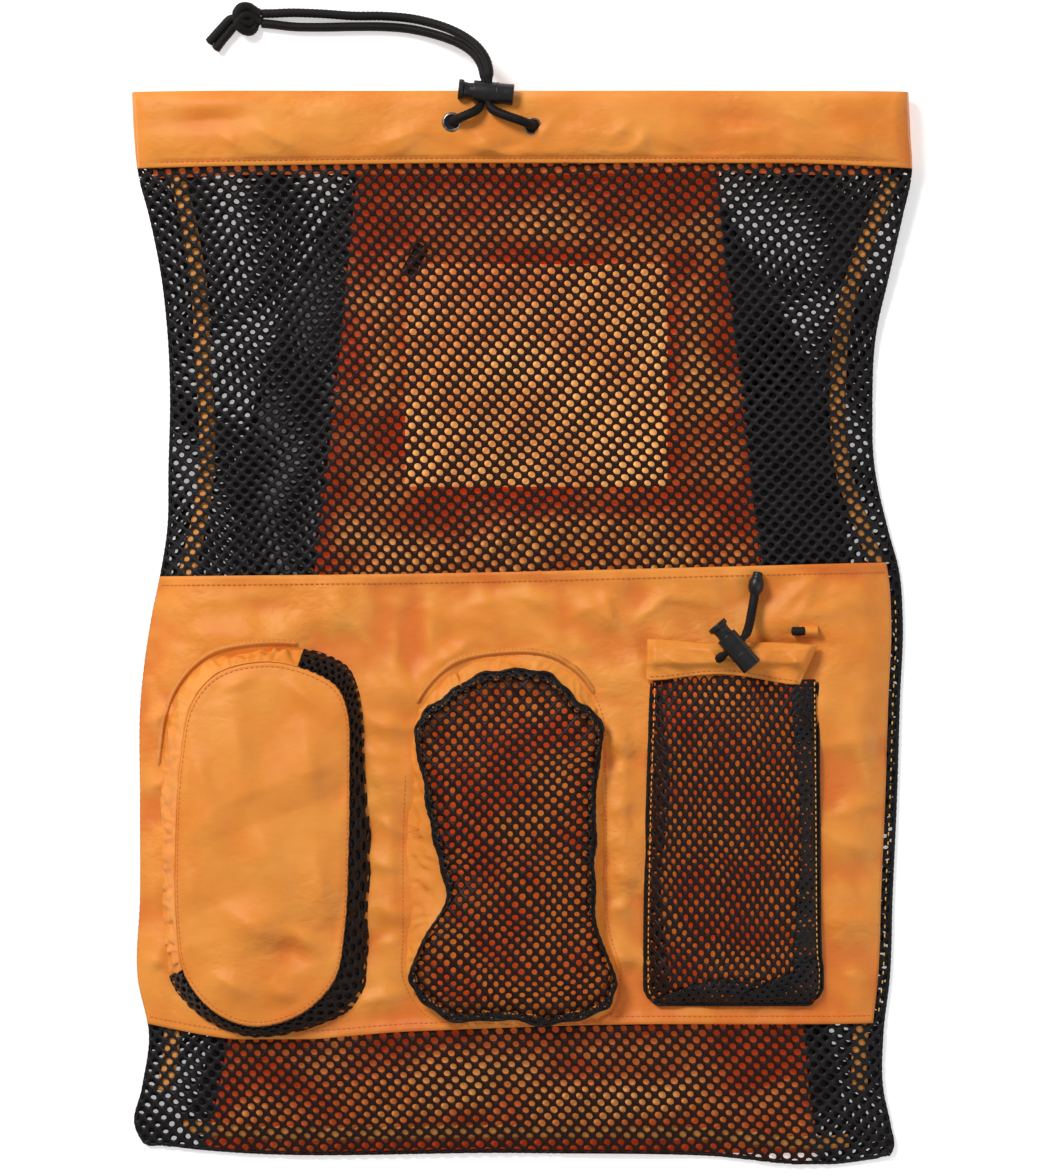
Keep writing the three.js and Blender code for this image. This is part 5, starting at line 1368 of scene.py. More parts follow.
# %% pocket outlines
LEFT_RIM = np.array([
    (0.014, 0.462, 0.019, 0.5), (0.212, 0.439, 0.245, 0.485), (0.34, 0.398, 0.396, 0.444),
    (0.392, 0.332, 0.458, 0.352), (0.401, 0.184, 0.476, 0.209), (0.396, -0.02, 0.5, -0.038),
    (0.377, -0.224, 0.486, -0.237), (0.325, -0.352, 0.453, -0.403), (0.16, -0.439, 0.245, -0.469),
    (-0.057, -0.467, -0.047, -0.5), (-0.241, -0.429, -0.292, -0.454), (-0.377, -0.339, -0.448, -0.362),
    (-0.415, -0.224, -0.486, -0.237), (-0.42, 0.005, -0.5, -0.008), (-0.396, 0.209, -0.491, 0.222),
    (-0.344, 0.355, -0.425, 0.375), (-0.217, 0.434, -0.264, 0.469),
])
MIDDLE_RIM = np.array([
    (-0.056, 0.435, -0.028, 0.5), (0.154, 0.424, 0.168, 0.492), (0.28, 0.38, 0.318, 0.437),
    (0.379, 0.318, 0.412, 0.337), (0.379, 0.187, 0.428, 0.187), (0.364, -0.06, 0.433, -0.057),
    (0.379, -0.234, 0.442, -0.234), (0.455, -0.37, 0.5, -0.37), (0.405, -0.445, 0.449, -0.475),
    (0.178, -0.472, 0.178, -0.5), (-0.084, -0.466, -0.093, -0.495), (-0.336, -0.45, -0.374, -0.481),
    (-0.448, -0.37, -0.495, -0.383), (-0.383, -0.253, -0.5, -0.261), (-0.29, -0.158, -0.5, -0.139),
    (-0.332, -0.03, -0.5, -0.03), (-0.383, 0.12, -0.491, 0.12), (-0.425, 0.255, -0.472, 0.255),
    (-0.374, 0.323, -0.421, 0.378), (-0.234, 0.41, -0.266, 0.47),
])


def outline(pocket, rim, first):
    rows = rim[::-1]
    points = np.column_stack([
        pocket["x"] + rows[:, first] * pocket["width"], pocket["y"] + rows[:, first + 1] * pocket["length"],
        np.zeros(len(rows))])
    count = len(points)

    def at(share):
        p = (np.asarray(share, float) % 1.0) * count
        k = np.floor(p).astype(int)
        w = (p - k)[..., None]
        p0, p1, p2, p3 = (points[(k + m) % count] for m in (-1, 0, 1, 2))
        d0, d1, d2 = (
            np.linalg.norm(b - a, axis=-1)[..., None] ** 0.5 for a, b in ((p0, p1), (p1, p2), (p2, p3)))
        m1 = ((p1 - p0) / d0 - (p2 - p0) / (d0 + d1) + (p2 - p1) / d1) * d1
        m2 = ((p2 - p1) / d1 - (p3 - p1) / (d1 + d2) + (p3 - p2) / d2) * d1
        spot = p1 + m1 * w + (-3 * p1 + 3 * p2 - 2 * m1 - m2) * w ** 2 + (2 * p1 - 2 * p2 + m1 + m2) * w ** 3
        return spot[..., 0], spot[..., 1]

    return at


left_foot, left_face = outline(LEFT_POCKET, LEFT_RIM, 2), outline(LEFT_POCKET, LEFT_RIM, 0)
middle_foot, middle_face = outline(MIDDLE_POCKET, MIDDLE_RIM, 2), outline(MIDDLE_POCKET, MIDDLE_RIM, 0)


def outward(pocket, x, y):
    away_x, away_y = x - pocket["x"], y - pocket["y"]
    reach = np.hypot(away_x, away_y)
    return away_x / reach, away_y / reach, reach


def grown(pocket, x, y, size, size_y=None):
    size_y = size if size_y is None else size_y
    return pocket["x"] + (x - pocket["x"]) * size, pocket["y"] + (y - pocket["y"]) * size_y


def panel_base(x, y):
    return front_under(x, y) + 1.0


def dome_height(pocket, x, y, ring):
    return panel_base(x, y) + pocket["rise"] + 0.3 + pocket["dome"] * (1 - ring ** 2)


print("pocket outlines ready")

# %% [markdown]
# The left pocket is a small case: a nylon face on a standing side. The face is soft, with two or three
# long folds, and its edge is turned and topstitched. The side is nylon above and to the left, where a zip
# runs, and net to the right and below, where it slumps outwards.

# %% left pocket face
left_folds = fold_field([
    (-170, -20, -156, -120, 9, 1.8), (-160, -100, -132, -162, 10, 2.4), (-190, -92, -166, -140, 9, 1.8),
    (-180, -156, -130, -186, 8, 2.2), (-150, -178, -118, -196, 7, -1.8), (-138, -170, -112, -188, 5, 2.0),
    (-128, -40, -116, -120, 8, 1.8), (-192, -64, -176, -110, 6, 1.4), (-140, -26, -110, -50, 6, 1.6),
    (-120, -120, -112, -176, 6, 1.4), (-184, -196, -150, -214, 6, 1.8), (-150, -206, -124, -214, 5, 1.4),
    (-176, -34, -150, -26, 5, 1.6), (-196, -130, -184, -176, 6, 1.4),
], 1.7)
face_unrest = cloth_noise(61, 30.0)
face_crumple = crumple(63, 34.0, 0.9)
STITCH_RING = 0.972


def face_relief(x, y):
    return 2.3 * left_folds(x, y) + 1.3 * face_unrest(x, y) + 2.2 * face_crumple(x, y)


def left_face_height(x, y, ring):
    edge = smooth((1 - ring) / 0.12)
    seam = -0.3 * np.exp(-((STITCH_RING - ring) / 0.01) ** 2) - 1.4 * smooth((ring - 0.985) / 0.015)
    return dome_height(LEFT_POCKET, x, y, ring) + 0.9 + face_relief(x, y) * (0.25 + 0.75 * edge) + seam


def left_face_place(u, v):
    ring = 1 - (1 - v) ** 1.35
    x, y = grown(LEFT_POCKET, *left_face(u), ring)
    return x, y, left_face_height(x, y, ring)


def left_face_shade(x, y, z):
    return 0.26 * smooth((1.0 - face_relief(x, y)) / 5.0)


pocket_face_left = woven_sheet(
    "nylon_left_pocket_face", 170, 56, left_face_place, 0.5, left_face_shade, closed=True)
dress(pocket_face_left, NYLON, "nylon", "left_pocket_face")
stitch_ring = np.column_stack(grown(LEFT_POCKET, *left_face(np.linspace(0, 1, 300)), STITCH_RING))
stitch_row(
    "stitches_left_pocket",
    on_cloth(stitch_ring, lambda x, y: left_face_height(x, y, STITCH_RING), 0.25), THREAD)

# %% [markdown]
# The standing side of the left pocket is a strip between the face's edge and the panel. It is gathered, so
# it puckers all the way round. A strip of nylon carries the zip, and a doubled strip of net does the rest.

# %% left pocket sides
wall_unrest = cloth_noise(65, 8.0)


def wall_place(pocket, foot, face, start, end, swell, crumpled):
    def place(u, v):
        share = start + (end - start) * u
        fx, fy = foot(share)
        tx, ty = face(share)
        x, y = fx + (tx - fx) * v, fy + (ty - fy) * v
        out_x, out_y, _ = outward(pocket, x, y)
        bend = np.sin(np.pi * np.clip(v, 0, 1))
        gathers = np.sin(300 * share + 6 * wall_unrest(y, x) + 2.5 * v)
        puckers = wall_unrest(x * 1.6, y * 1.6 + 40 * v) + 0.5 * gathers
        out = (swell + crumpled * puckers) * bend
        base = panel_base(fx, fy) - 1.0
        top = panel_base(tx, ty) + pocket["rise"] + 0.9
        return x + out_x * out, y + out_y * out, base + (top - base) * v

    return place


NYLON_SIDE, NET_SIDE = (0.90, 1.285), (1.285, 1.90)
side_left = woven_sheet(
    "nylon_left_pocket_side", 240, 14,
    wall_place(LEFT_POCKET, left_foot, left_face, *NYLON_SIDE, 0.6, 2.1), 0.5)
dress(side_left, NYLON, "nylon", "left_pocket_side")

net_wall = wall_place(LEFT_POCKET, left_foot, left_face, *NET_SIDE, 1.2, 0.6)
wall_path = np.stack(left_foot(np.linspace(*NET_SIDE, 400)), -1)
wall_travel = np.concatenate([[0], np.cumsum(np.hypot(*np.diff(wall_path, axis=0).T))])
WALL_RUN, WALL_UP = float(wall_travel[-1]), 17.0


def net_wall_place(s, t, lift):
    x, y, z = net_wall(np.clip(s / WALL_RUN, 0, 1), np.clip(t / WALL_UP, 0, 1))
    out_x, out_y, _ = outward(LEFT_POCKET, x, y)
    return x + out_x * lift, y + out_y * lift, z + 0.4 * lift


def on_wall(s, t):
    return (s > -1) & (s < WALL_RUN + 1) & (t > -1) & (t < WALL_UP + 1)


net_left_pocket = knit_net(
    "net_left_pocket_side", ((0, WALL_RUN), (0, WALL_UP)), on_wall, net_wall_place, yarn=0.42)
dress(net_left_pocket, KNIT, "knit", "left_pocket_net")


def inner_wall_place(s, t, lift):
    x, y, z = net_wall_place(s + 1.9 * np.sin(s / 9.0), t + 1.3, lift)
    return *grown(LEFT_POCKET, x, y, 0.978), z - 0.5


net_left_inner = knit_net(
    "net_left_pocket_fold", ((0, WALL_RUN), (0, WALL_UP)), on_wall, inner_wall_place,
    pitch=6.4, row=3.1, hole=(1.3, 1.05), yarn=0.42, leave_out="low")
dress(net_left_inner, KNIT, "knit")

# %% [markdown]
# Zips are coils of plastic sewn to a narrow tape, here turned coil side down, so one sees a ribbed ridge
# between two flat strips. One ribbon with that section follows the foot of each pocket.

# %% zips
ZIP_SECTION = [
    (-2.3, -0.1), (-1.25, 0.35), (-0.95, 1.1), (-0.4, 1.7), (0.4, 1.7), (0.95, 1.1), (1.25, 0.35), (2.3, -0.1),
]


def zip_run(name, pocket, foot, start, end, node, out=2.0, steps=240):
    share = np.linspace(start, end, steps + 1)
    x, y = foot(share)
    out_x, out_y, _ = outward(pocket, x, y)
    k = np.arange(steps + 1)
    tooth = 0.22 * np.cos(k * np.pi)
    sunk = smooth(np.minimum(k, steps - k) / 8)
    columns = []
    for aside, up in ZIP_SECTION:
        cx, cy = x + out_x * (out + aside), y + out_y * (out + aside)
        rise = (up + 0.5 + tooth * (abs(aside) < 1)) * sunk - 0.5
        columns.append(np.column_stack([cx, cy, panel_height(cx, cy) + rise]))
    points = np.stack(columns, 1).reshape(-1, 3)
    run = cloth_object(name, points, grid_faces(len(ZIP_SECTION) - 1, steps))
    thicken(run, 0.4)
    dress(run, ZIP, "zip", node)


zip_run("zip_left_pocket", LEFT_POCKET, left_foot, 0.905, 1.13, "left_pocket_zip")
zip_run("zip_middle_pocket", MIDDLE_POCKET, middle_foot, 0.82, 1.06, "middle_pocket_zip")
print("left pocket done")

# %% [markdown]
# The middle pocket is a slack net bag, gathered into a narrow nylon rim. It stands up at its edge, where
# the gathers bunch the net into a dark roll, and slumps over the rim at its left and its foot.

# %% middle pocket
middle_unrest = cloth_noise(71, 19.0)
middle_folds = fold_field([
    (-30, -40, -10, -150, 7, 1.6), (10, -40, 6, -120, 6, 1.3), (28, -50, 34, -170, 7, 1.4),
    (-44, -90, -34, -150, 6, 1.6), (-50, -200, 30, -214, 7, 1.6), (-40, -180, -10, -160, 6, 1.4),
    (-20, -60, 24, -100, 6, 1.0),
], 1.5)
face_turn = np.linspace(0, 1, 721)[:-1]
mx, my = middle_face(face_turn)
face_angle = np.arctan2(my - MIDDLE_POCKET["y"], mx - MIDDLE_POCKET["x"])
face_reach = np.hypot(mx - MIDDLE_POCKET["x"], my - MIDDLE_POCKET["y"])
order = np.argsort(face_angle)
turn_keys = np.concatenate([face_angle[order] - 2 * np.pi, face_angle[order], face_angle[order] + 2 * np.pi])
turn_reach = np.tile(face_reach[order], 3)


def middle_ring(x, y):
    angle = np.arctan2(y - MIDDLE_POCKET["y"], x - MIDDLE_POCKET["x"])
    reach = np.interp(angle, turn_keys, turn_reach)
    return np.hypot(x - MIDDLE_POCKET["x"], y - MIDDLE_POCKET["y"]) / reach, angle


def scallop(angle):
    high = smooth((np.sin(angle) + 0.1) / 0.5)
    return 1.0 + 0.022 * np.sin(angle * 9 + 0.6) * high + 0.012 * np.sin(angle * 14 + 2.0)


def middle_net_height(x, y):
    ring_share, angle = middle_ring(x, y)
    edge = np.clip(ring_share / scallop(angle), 0, 1.06)
    gather = 1.1 * np.sin(angle * 37 + 3 * middle_unrest(x, y)) * smooth((edge - 0.66) / 0.3)
    body = middle_folds(x, y) + 1.3 * middle_unrest(x, y)
    drop = 3.0 * smooth((edge - 0.95) / 0.1)
    dome = dome_height(MIDDLE_POCKET, x, y, np.minimum(edge, 1))
    return dome + 2.2 + body * smooth((1.02 - edge) / 0.3) + gather - drop


def middle_pull(s, t):
    return s + 1.2 * middle_unrest(t, s), t + 2.0 * middle_unrest(s + 50, t) + 0.05 * s


def middle_keep(s, t):
    x, y = middle_pull(s, t)
    ring_share, angle = middle_ring(x, y)
    return ring_share < 1.05 * scallop(angle)


def middle_place(s, t, lift):
    x, y = middle_pull(s, t)
    ring_share, angle = middle_ring(x, y)
    pull = np.minimum(1.0, 1.045 * scallop(angle) / np.maximum(ring_share, 1e-6))
    x, y = grown(MIDDLE_POCKET, x, y, pull)
    return x, y, middle_net_height(x, y) + lift


net_middle = knit_net(
    "net_middle_pocket", ((-75, 65), (-236, -20)), middle_keep, middle_place,
    pitch=7.2, row=3.66, hole=(1.68, 1.62), orange_light_behind=level(0.8))
dress(net_middle, KNIT, "knit", "middle_pocket_net")

rim_wall = wall_place(MIDDLE_POCKET, middle_foot, middle_face, 0.0, 1.0, 0.4, 2.0)
rim = woven_sheet("nylon_middle_pocket_rim", 300, 12, rim_wall, 0.5, closed=True)
dress(rim, NYLON, "nylon", "middle_pocket_rim")


def gathered_roll(name, radius, reach, lift, phase):
    share = np.linspace(0, 0.9995, 260)
    x, y = middle_face(share)
    angle = np.arctan2(y - MIDDLE_POCKET["y"], x - MIDDLE_POCKET["x"])
    x, y = grown(MIDDLE_POCKET, x, y, (reach + 0.008 * np.sin(share * 170 + phase)) * scallop(angle))
    z = panel_base(x, y) + MIDDLE_POCKET["rise"] + lift + 0.5 * np.sin(share * 210 + phase)
    roll, _ = swept(name, np.column_stack([x, y, z]), radius, sides=12, step=1.1, braid=0.2, bundles=3, lay=5.6)
    return dress(roll, KNIT, "knit")


gathered_roll("gathered_net_roll", 0.95, 1.045, 1.6, 0.0)
BORDER_WIDTH = 4.4
border_path = np.stack(middle_face(np.linspace(0, 1, 900)), -1)
border_travel = np.concatenate([[0], np.cumsum(np.hypot(*np.diff(border_path, axis=0).T))])


def border_place(s, t, lift):
    share = np.interp(s, border_travel, np.linspace(0, 1, 900))
    x, y = middle_face(share)
    angle = np.arctan2(y - MIDDLE_POCKET["y"], x - MIDDLE_POCKET["x"])
    inward = np.clip(t, -0.5, BORDER_WIDTH)
    pleat = 0.9 * np.sin(s / 1.9 + 2.0 * middle_unrest(x, y)) + 0.5 * np.sin(s / 4.7)
    out_x, out_y, reach = outward(MIDDLE_POCKET, x, y)
    out = (1.04 * scallop(angle) - 1) * reach - inward
    x, y = x + out_x * out, y + out_y * out
    bulge = 1.6 * np.sin(np.pi * np.clip(inward / BORDER_WIDTH, 0, 1)) ** 0.7
    return x, y, panel_base(x, y) + MIDDLE_POCKET["rise"] + 1.9 + bulge + pleat * 0.6 + lift + 0.3 * inward


net_border = knit_net(
    "net_middle_pocket_gathers", ((0, float(border_travel[-1])), (0, 5)),
    lambda s, t: (s > -1) & (s < border_travel[-1] + 1) & (t > -1.5) & (t < 4.6), border_place,
    pitch=5.0, row=2.5, hole=(1.0, 0.8), yarn=0.5, leave_out="low")
dress(net_border, KNIT, "knit")
nub_profile = rounded([(0.02, -1.6), (1.5, -1.2), (1.9, 0.0), (1.4, 1.3), (0.02, 1.7)], 0.6)
for name, spot in (("upper", (-54.4, -101.5)), ("lower", (-53.2, -106.5))):
    place = np.array([*spot, float(panel_base(*spot)) + 7.0])
    nub = turned(
        f"gather_nub_{name}", nub_profile, place, np.array([0.3, 0.95, 0.0]), np.array([0.95, -0.3, 0.0]), 16)
    dress(nub, KNIT, "knit")
rim_seam = np.column_stack(grown(MIDDLE_POCKET, *middle_foot(np.linspace(0.13, 0.85, 260)), 1.02, 1.01))
stitch_row("stitches_middle_rim", on_cloth(rim_seam, panel_height, 0.15), THREAD, 2.6, 1.8, 0.3)
TACKS = {
    "left": ((-67, -113), (-50, -119)), "left_low": ((-66, -117), (-52, -122)), "right": ((41, -106), (47.5, -108)),
}
for name, ends in TACKS.items():
    tack = on_cloth(np.linspace(*ends, 8), lambda x, y: panel_base(x, y) + 4.5, 0.6)
    stitch_row(f"stitches_rim_tack_{name}", tack, THREAD, 2.0, 1.5, 0.3)
print("middle pocket done")

# %% [markdown]
# Under the two open nets the panel is in their shade. Light that has passed a net reaches it in spots, so
# some holes show bright orange cloth and others deep red, and the cloth there glows a little.

# %% cloth under the open nets
def ground_of_pockets(x, y):
    in_right = smooth((49 - np.abs(x - RIGHT["x"])) / 3) * smooth((95 - np.abs(y + 121)) / 4)
    in_middle = smooth((0.985 - middle_ring(x, y)[0]) / 0.06)
    return np.maximum(in_right, in_middle)


panel_x, panel_y, panel_z = spots_of(panel)
ground = ground_of_pockets(panel_x, panel_y)
spotty = 0.66 + 0.46 * panel_crease(panel_x, panel_y) + 0.35 * panel_crumple(panel_x, panel_y)
panel.data.attributes.remove(panel.data.attributes["shade"])
shaded(panel, np.maximum(hollow_shade(panel_x, panel_y, panel_z), ground * spotty))
shaded(panel, ground, "lit")
print("shade laid under", int((ground > 0.5).sum()), "points")

# %% [markdown]
# The right pocket is an open net bag under a short casing with its own cord. Its sides are topstitched in
# yellow, and the spare net lies in dark folds along its foot and its right side.

# %% right pocket
right_sides_low = curve_of([0, 0.05, 0.15, 0.5, 1], [-0.46, -0.51, -0.51, -0.5, -0.47])
right_sides_high = curve_of([0, 0.05, 0.15, 0.5, 1], [0.47, 0.53, 0.52, 0.51, 0.5])


def right_side(read, y):
    share = (y - RIGHT["bottom"]) / (RIGHT["top"] - RIGHT["bottom"])
    return RIGHT["x"] + RIGHT["width"] * read(share)


def low_side(y):
    return right_side(right_sides_low, y)


def high_side(y):
    return right_side(right_sides_high, y)


right_unrest = cloth_noise(81, 17.0)
right_folds = fold_field([
    (80, -206, 150, -214, 4, 3.0), (96, -198, 166, -204, 4, 2.6), (160, -190, 164, -60, 5, 2.6),
    (76, -190, 92, -210, 4, 2.2), (104, -60, 122, -180, 9, 1.4), (150, -50, 140, -140, 7, 1.2),
    (90, -50, 84, -150, 7, 1.0), (84, -40, 96, -90, 5, 1.2),
], 1.5)


def right_net_height(x, y):
    side = np.minimum(x - low_side(y), high_side(y) - x)
    foot = (y - RIGHT["bottom"]) / 14
    belly = RIGHT["belly"] * smooth((RIGHT["top"] - y) / 34)
    rise = (RIGHT["rise"] + belly) * filling(side / 14) * filling(foot)
    body = (right_folds(x, y) + 0.9 * right_unrest(x, y)) * smooth(side / 10)
    return panel_base(x, y) + 0.9 + rise + body


right_keep, right_place = bounded(
    level(RIGHT["bottom"]), lambda x, y: RIGHT["top"] - 0.8 - 5.0 * smooth((x - 157) / 8),
    low_side, high_side, right_net_height,
    lambda s, t: (s + 1.5 * right_unrest(t, s), t + 2.0 * right_unrest(s, t + 60) - 0.04 * s))
net_right_pocket = knit_net(
    "net_right_pocket", ((66, 178), (-224, -20)), right_keep, right_place,
    pitch=5.9, row=4.05, hole=(1.25, 1.62), orange_light_behind=level(0.7))
dress(net_right_pocket, KNIT, "knit", "right_pocket_net")


def slack_net(name, reach, low, high, left, right, drift, lift):
    keep, place = bounded(
        low, high, left, right, lambda x, y: right_net_height(x, y) + lift + 0.8 * right_unrest(y, x),
        lambda s, t: (s + drift * np.sin(t / 7.0), t + drift * np.sin(s / 8.0)))
    slack = knit_net(
        name, reach, keep, place, pitch=5.6, row=2.7, hole=(0.85, 0.75), yarn=0.5, leave_out="low")
    dress(slack, KNIT, "knit")


slack_net(
    "net_right_pocket_foot", ((72, 172), (-222, -190)), level(RIGHT["bottom"] + 1.0),
    lambda x, y: -207.5 + 6.5 * np.sin((x - 78) / 21.0) + 0.14 * (x - 122),
    lambda y: low_side(y) + 2, lambda y: high_side(y) - 2, 1.4, 0.9)
slack_net(
    "net_right_pocket_corner", ((120, 172), (-222, -186)), level(RIGHT["bottom"] + 2.0),
    lambda x, y: -205.0 + 0.5 * (x - 140), lambda y: 128.0 + 0 * y, lambda y: high_side(y) - 3, 2.0, 1.8)
slack_net(
    "net_right_pocket_side", ((140, 176), (-216, -26)), level(-212.0), level(-29.0),
    lambda y: 158.6 + 2.2 * np.sin(y / 26.0) - 0.8 * smooth((y + 70) / 30), lambda y: high_side(y) - 1, 1.6, 0.9)
slack_net(
    "net_right_pocket_near_side", ((66, 96), (-216, -26)), level(-212.0), level(-29.0),
    lambda y: low_side(y) + 3, lambda y: 83.0 + 2.5 * np.sin(y / 19.0), 1.2, -1.0)
for name, side_of, way, proud in (("low", low_side, 1, 0.8), ("high", high_side, -1, 2.0)):
    line = [(float(side_of(y)) + way * 2.0, float(y)) for y in np.linspace(-212, -30, 90)]
    stitch_row(f"stitches_right_pocket_{name}", on_cloth(line, right_net_height, proud), PALE_THREAD, 3.4, 2.0)
    edge = [(float(side_of(y)), float(y)) for y in np.linspace(-215, -30, 90)]
    edge_roll(f"right_pocket_edge_{name}", on_cloth(edge, right_net_height, 0.2), 1.0)
foot_line = [(float(x), RIGHT["bottom"] + 0.6) for x in np.linspace(77, 168, 50)]
edge_roll("right_pocket_edge_foot", on_cloth(foot_line, right_net_height, 0.3), 1.2)

# %% [markdown]
# The pocket's mouth is a short tube of nylon that holds its cord. It is fullest in the middle, and its
# folds run towards the place where the cord pulls it together. Its hem arches up over the net.

# %% right pocket casing
sleeve_unrest = cloth_noise(85, 13.0)
sleeve_folds = fold_field([
    (76, -12, 100, -25, 4, 3.4), (74, -20, 92, -28, 3, 1.8), (88, -8, 106, -18, 3.5, -1.4),
    (104, -8, 120, -28, 3.5, 3.0), (124, -30, 146, -12, 3.5, 3.4), (142, -24, 164, -12, 3.5, -1.2),
    (150, -12, 168, -26, 3.5, 2.6), (156, -30, 158, -10, 3, 2.0),
], 1.5)
SLEEVE_FOOT_Z = 21.6
sleeve_puff = curve_of([0, 0.25, 0.41, 0.74, 0.85, 1], [0.3, 0.48, 1.0, 1.0, 0.7, 0.2])


def sleeve_height(x, y):
    share = np.clip((y + 28) / 22, 0, 1)
    return 22.2 + 6.2 * sleeve_puff(share) + sleeve_folds(x, y) + 1.1 * sleeve_unrest(x, y)


def sleeve_hem(u):
    return RIGHT["top"] - 3.4 - 2.6 * u + 4.6 * np.sin(np.pi * np.clip(1.08 * u - 0.04, 0, 1)) ** 1.6


def sleeve_place(u, v):
    left = 71.6 + 0.8 * v
    x = left + u * (160.6 + 10.4 * v - left)
    low = sleeve_hem(u)
    y = low + v * (-6.2 - 2.6 * u + 0.7 * np.sin(9 * u + 1.0) - low)
    edge = smooth(np.minimum(u, 1 - u) / 0.05)
    return x, y, SLEEVE_FOOT_Z + (sleeve_height(x, y) - SLEEVE_FOOT_Z) * (0.35 + 0.65 * edge)


sleeve = woven_sheet("nylon_right_pocket_casing", 100, 26, sleeve_place, 0.5)
dress(sleeve, NYLON, "nylon", "right_pocket_band")
sleeve_back = woven_sheet(
    "nylon_right_pocket_casing_back", 60, 6, lambda u, v: (*sleeve_place(u, v)[:2], 21.2 + 0 * u), 0.4)
dress(sleeve_back, NYLON, "nylon")
line = [(float(sleeve_place(u, 0.08)[0]), float(sleeve_place(u, 0.0)[1]) + 2.2)
        for u in np.linspace(0.02, 0.98, 60)]
stitch_row("stitches_right_casing", on_cloth(line, sleeve_height, 0.2), THREAD)


def tab_place(u, v):
    x = 160.1 + 11.0 * u
    y = -5.0 + 7.6 * v
    return x, y, panel_base(x, y) + 0.8 + 5.6 * np.sin(np.pi * v) ** 0.6


tab = woven_sheet("nylon_loop_tab", 24, 16, tab_place, 0.5)
dress(tab, NYLON, "nylon", "right_pocket_tab")
cord_stub, _ = swept("cord_stub", [
    (155.6, -1.2, 21.2), (158.0, -1.2, 21.4), (161.0, -1.2, 21.6), (164.0, -1.0, 21.6)], 2.5, braid=0.07)
dress(cord_stub, CORD, "cord", "pocket_cord_end")
print("right pocket done")

# %% [markdown]
# Behind the bag lie the padded shoulder straps, each ending in a ladder buckle with a length of webbing
# that runs to the lower corner. The strap is a soft slab with a bound edge. The left one lies with its pale
# lining up, which shows through the two nets, and the right one lies with its black side up.

# %% straps
strap_left = curve_of([0.81, 0.4, 0.12, -0.2, -0.9], [-0.34, -0.55, -0.6, -0.58, -0.8])
strap_right = curve_of([0.81, 0.62, 0.4, 0.12, -0.2, -0.9], [0.36, 0.50, 0.655, 0.69, 0.64, 0.78])


STRAP_FOOT, STRAP_LENGTH = -62.0, 314.0


def strap_taper(v):
    return 0.55 + 0.45 * smooth(12 * v / 3)


def strap_shape(read):
    def place(u, v):
        y = STRAP_FOOT + STRAP_LENGTH * v
        angle = 2 * np.pi * u
        half = 31.0 * strap_taper(v)
        wide = np.sign(np.cos(angle)) * np.abs(np.cos(angle)) ** 0.45
        tall = np.sign(np.sin(angle)) * np.abs(np.sin(angle)) ** 0.6
        x = HALF_WIDTH * read(y / HALF_LENGTH) + (half + 2.5 * np.sin(y / 23.0)) * wide
        channel = 0.5 * np.exp(-((np.abs(wide) - 0.84) / 0.05) ** 2)
        return x, y, 3.0 + (3.0 - channel) * tall

    return place


for side, read in (("left", strap_left), ("right", strap_right)):
    u, v = np.meshgrid(np.linspace(0, 1, 49)[:-1], np.linspace(0, 1, 121), indexing="xy")
    points = np.stack(strap_shape(read)(u.ravel(), v.ravel()), -1)
    body = cloth_object(f"padded_strap_{side}", points, grid_faces(48, 120, wraps=True))
    dress(body, LINING if side == "left" else STRAP, "strap", f"shoulder_strap_{side}")
    for way, where in ((-1, "in"), (1, "out")):
        v = np.linspace(0.01, 0.99, 90)
        y = STRAP_FOOT + STRAP_LENGTH * v
        x = HALF_WIDTH * read(y / HALF_LENGTH) + way * 30.4 * strap_taper(v)
        edge, _ = swept(
            f"strap_binding_{side}_{where}", np.column_stack([x, y, 0 * y + 3.0]), 2.2,
            sides=10, step=2.4, braid=0.03, bundles=2, lay=3.0)
        dress(edge, WEBBING, "webbing")

# %% [markdown]
# A ladder buckle is two side bars and three rungs, all moulded in one, so it is built from rounded bars
# that run into each other. The webbing that leaves it has fine ribs along its length.

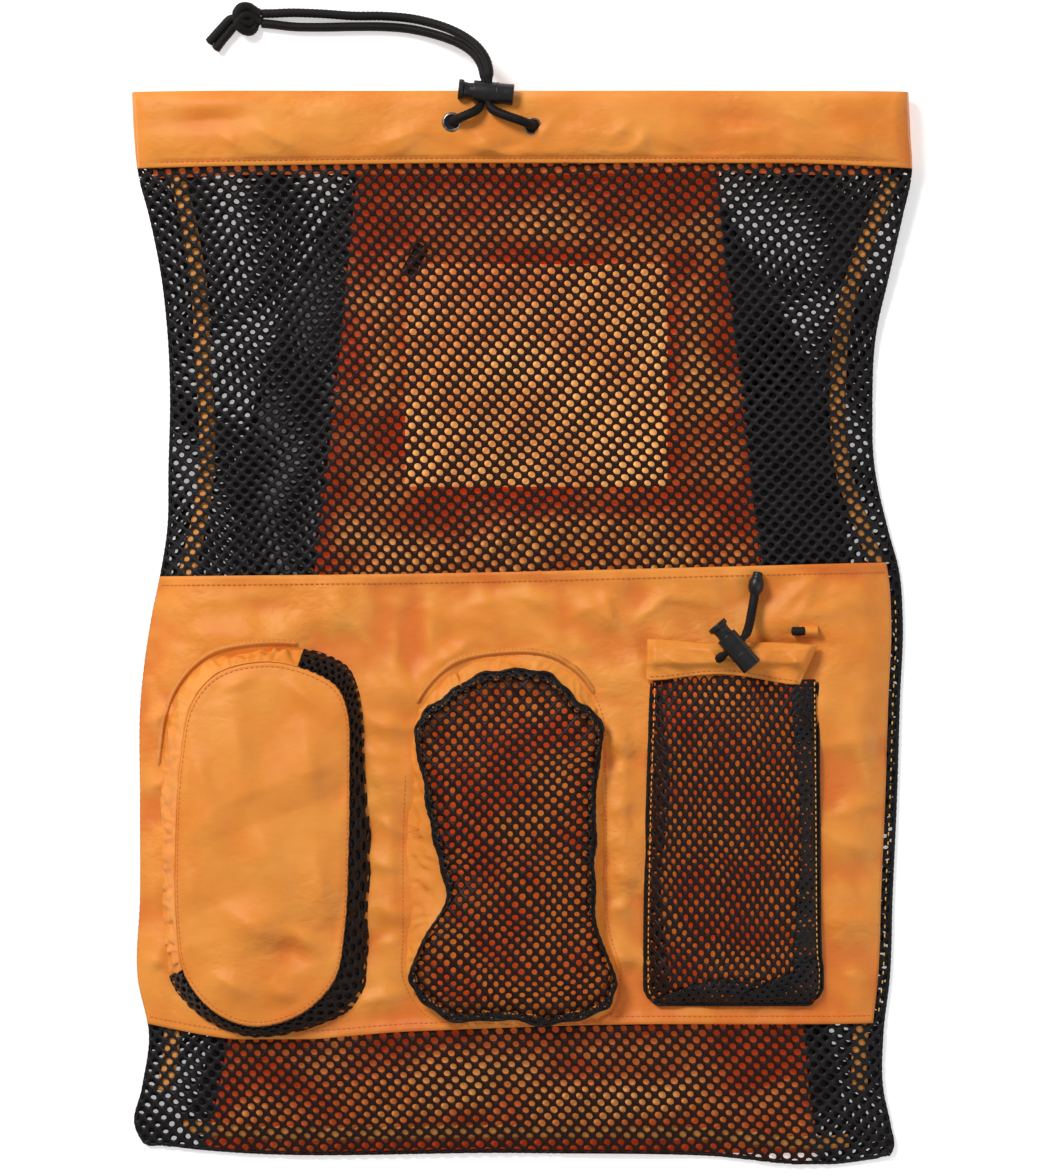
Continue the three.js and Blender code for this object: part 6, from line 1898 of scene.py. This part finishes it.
# %% buckles and webbing
def bar(name, low, high, reach=0.8):
    piece = bpy.data.objects.new(name, bpy.data.meshes.new(name))
    shape = bmesh.new()
    bmesh.ops.create_cube(shape, size=1.0)
    for vertex in shape.verts:
        for k in range(3):
            vertex.co[k] = (low[k] + high[k]) / 2 * MM + vertex.co[k] * (high[k] - low[k]) * MM
    bmesh.ops.bevel(shape, geom=shape.edges[:], offset=reach * MM, segments=3, affect="EDGES")
    shape.to_mesh(piece.data)
    shape.free()
    piece.data.polygons.foreach_set("use_smooth", np.full(len(piece.data.polygons), True))
    bpy.context.scene.collection.objects.link(piece)
    return piece


BUCKLE_BARS = [
    (-15, -10.2, -88.3, -62.3), (10.2, 15, -88.3, -62.3),
    (-14, 14, -67.6, -62.4), (-14, 14, -77.4, -72.7), (-14, 14, -88.2, -82.6),
]
WEB_TOP, WEB_FOOT, WEB_HALF_WIDTH = -88.9, -280.4, 10.0
for side, read in (("left", strap_left), ("right", strap_right)):
    middle = HALF_WIDTH * float(read(-75.0 / HALF_LENGTH))
    for k, (x0, x1, y0, y1) in enumerate(BUCKLE_BARS):
        rung = bar(f"ladder_buckle_{side}_{k}", (middle + x0, y0, 0.1), (middle + x1, y1, 4.3 - 0.3 * (k > 1)))
        dress(rung, PLASTIC, "buckle", *([f"ladder_lock_{side}"] if k == 0 else []))
    y = WEB_TOP + (WEB_FOOT - WEB_TOP) * np.linspace(0, 1, 41)
    x = HALF_WIDTH * read(y / HALF_LENGTH)
    rows = [
        np.column_stack([x + WEB_HALF_WIDTH * (2 * u - 1), y, 1.2 - 0.12 * np.cos(u * 16 * np.pi) + 0 * y])
        for u in np.linspace(0, 1, 33)]
    web = cloth_object(f"webbing_{side}", np.stack(rows, 1).reshape(-1, 3), grid_faces(32, 40)[:, ::-1])
    thicken(web, 1.0)
    dress(web, WEBBING, "webbing", f"strap_web_{side}")
print("straps done")

# %% [markdown]
# The triangles of every dressed piece are counted, after its modifiers. A net keeps about two thirds of
# its plain area once its holes are taken away.


depsgraph = bpy.context.evaluated_depsgraph_get()
triangles = {}
for piece in bpy.context.scene.objects:
    if piece.type == "MESH" and not piece.hide_render and "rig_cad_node" not in piece:
        shown = piece.evaluated_get(depsgraph).to_mesh()
        triangles[piece.name] = sum(len(face.vertices) - 2 for face in shown.polygons)
        piece.evaluated_get(depsgraph).to_mesh_clear()
print("triangles", sum(triangles.values()), "most", sorted(triangles.items(), key=lambda pair: -pair[1])[:3])
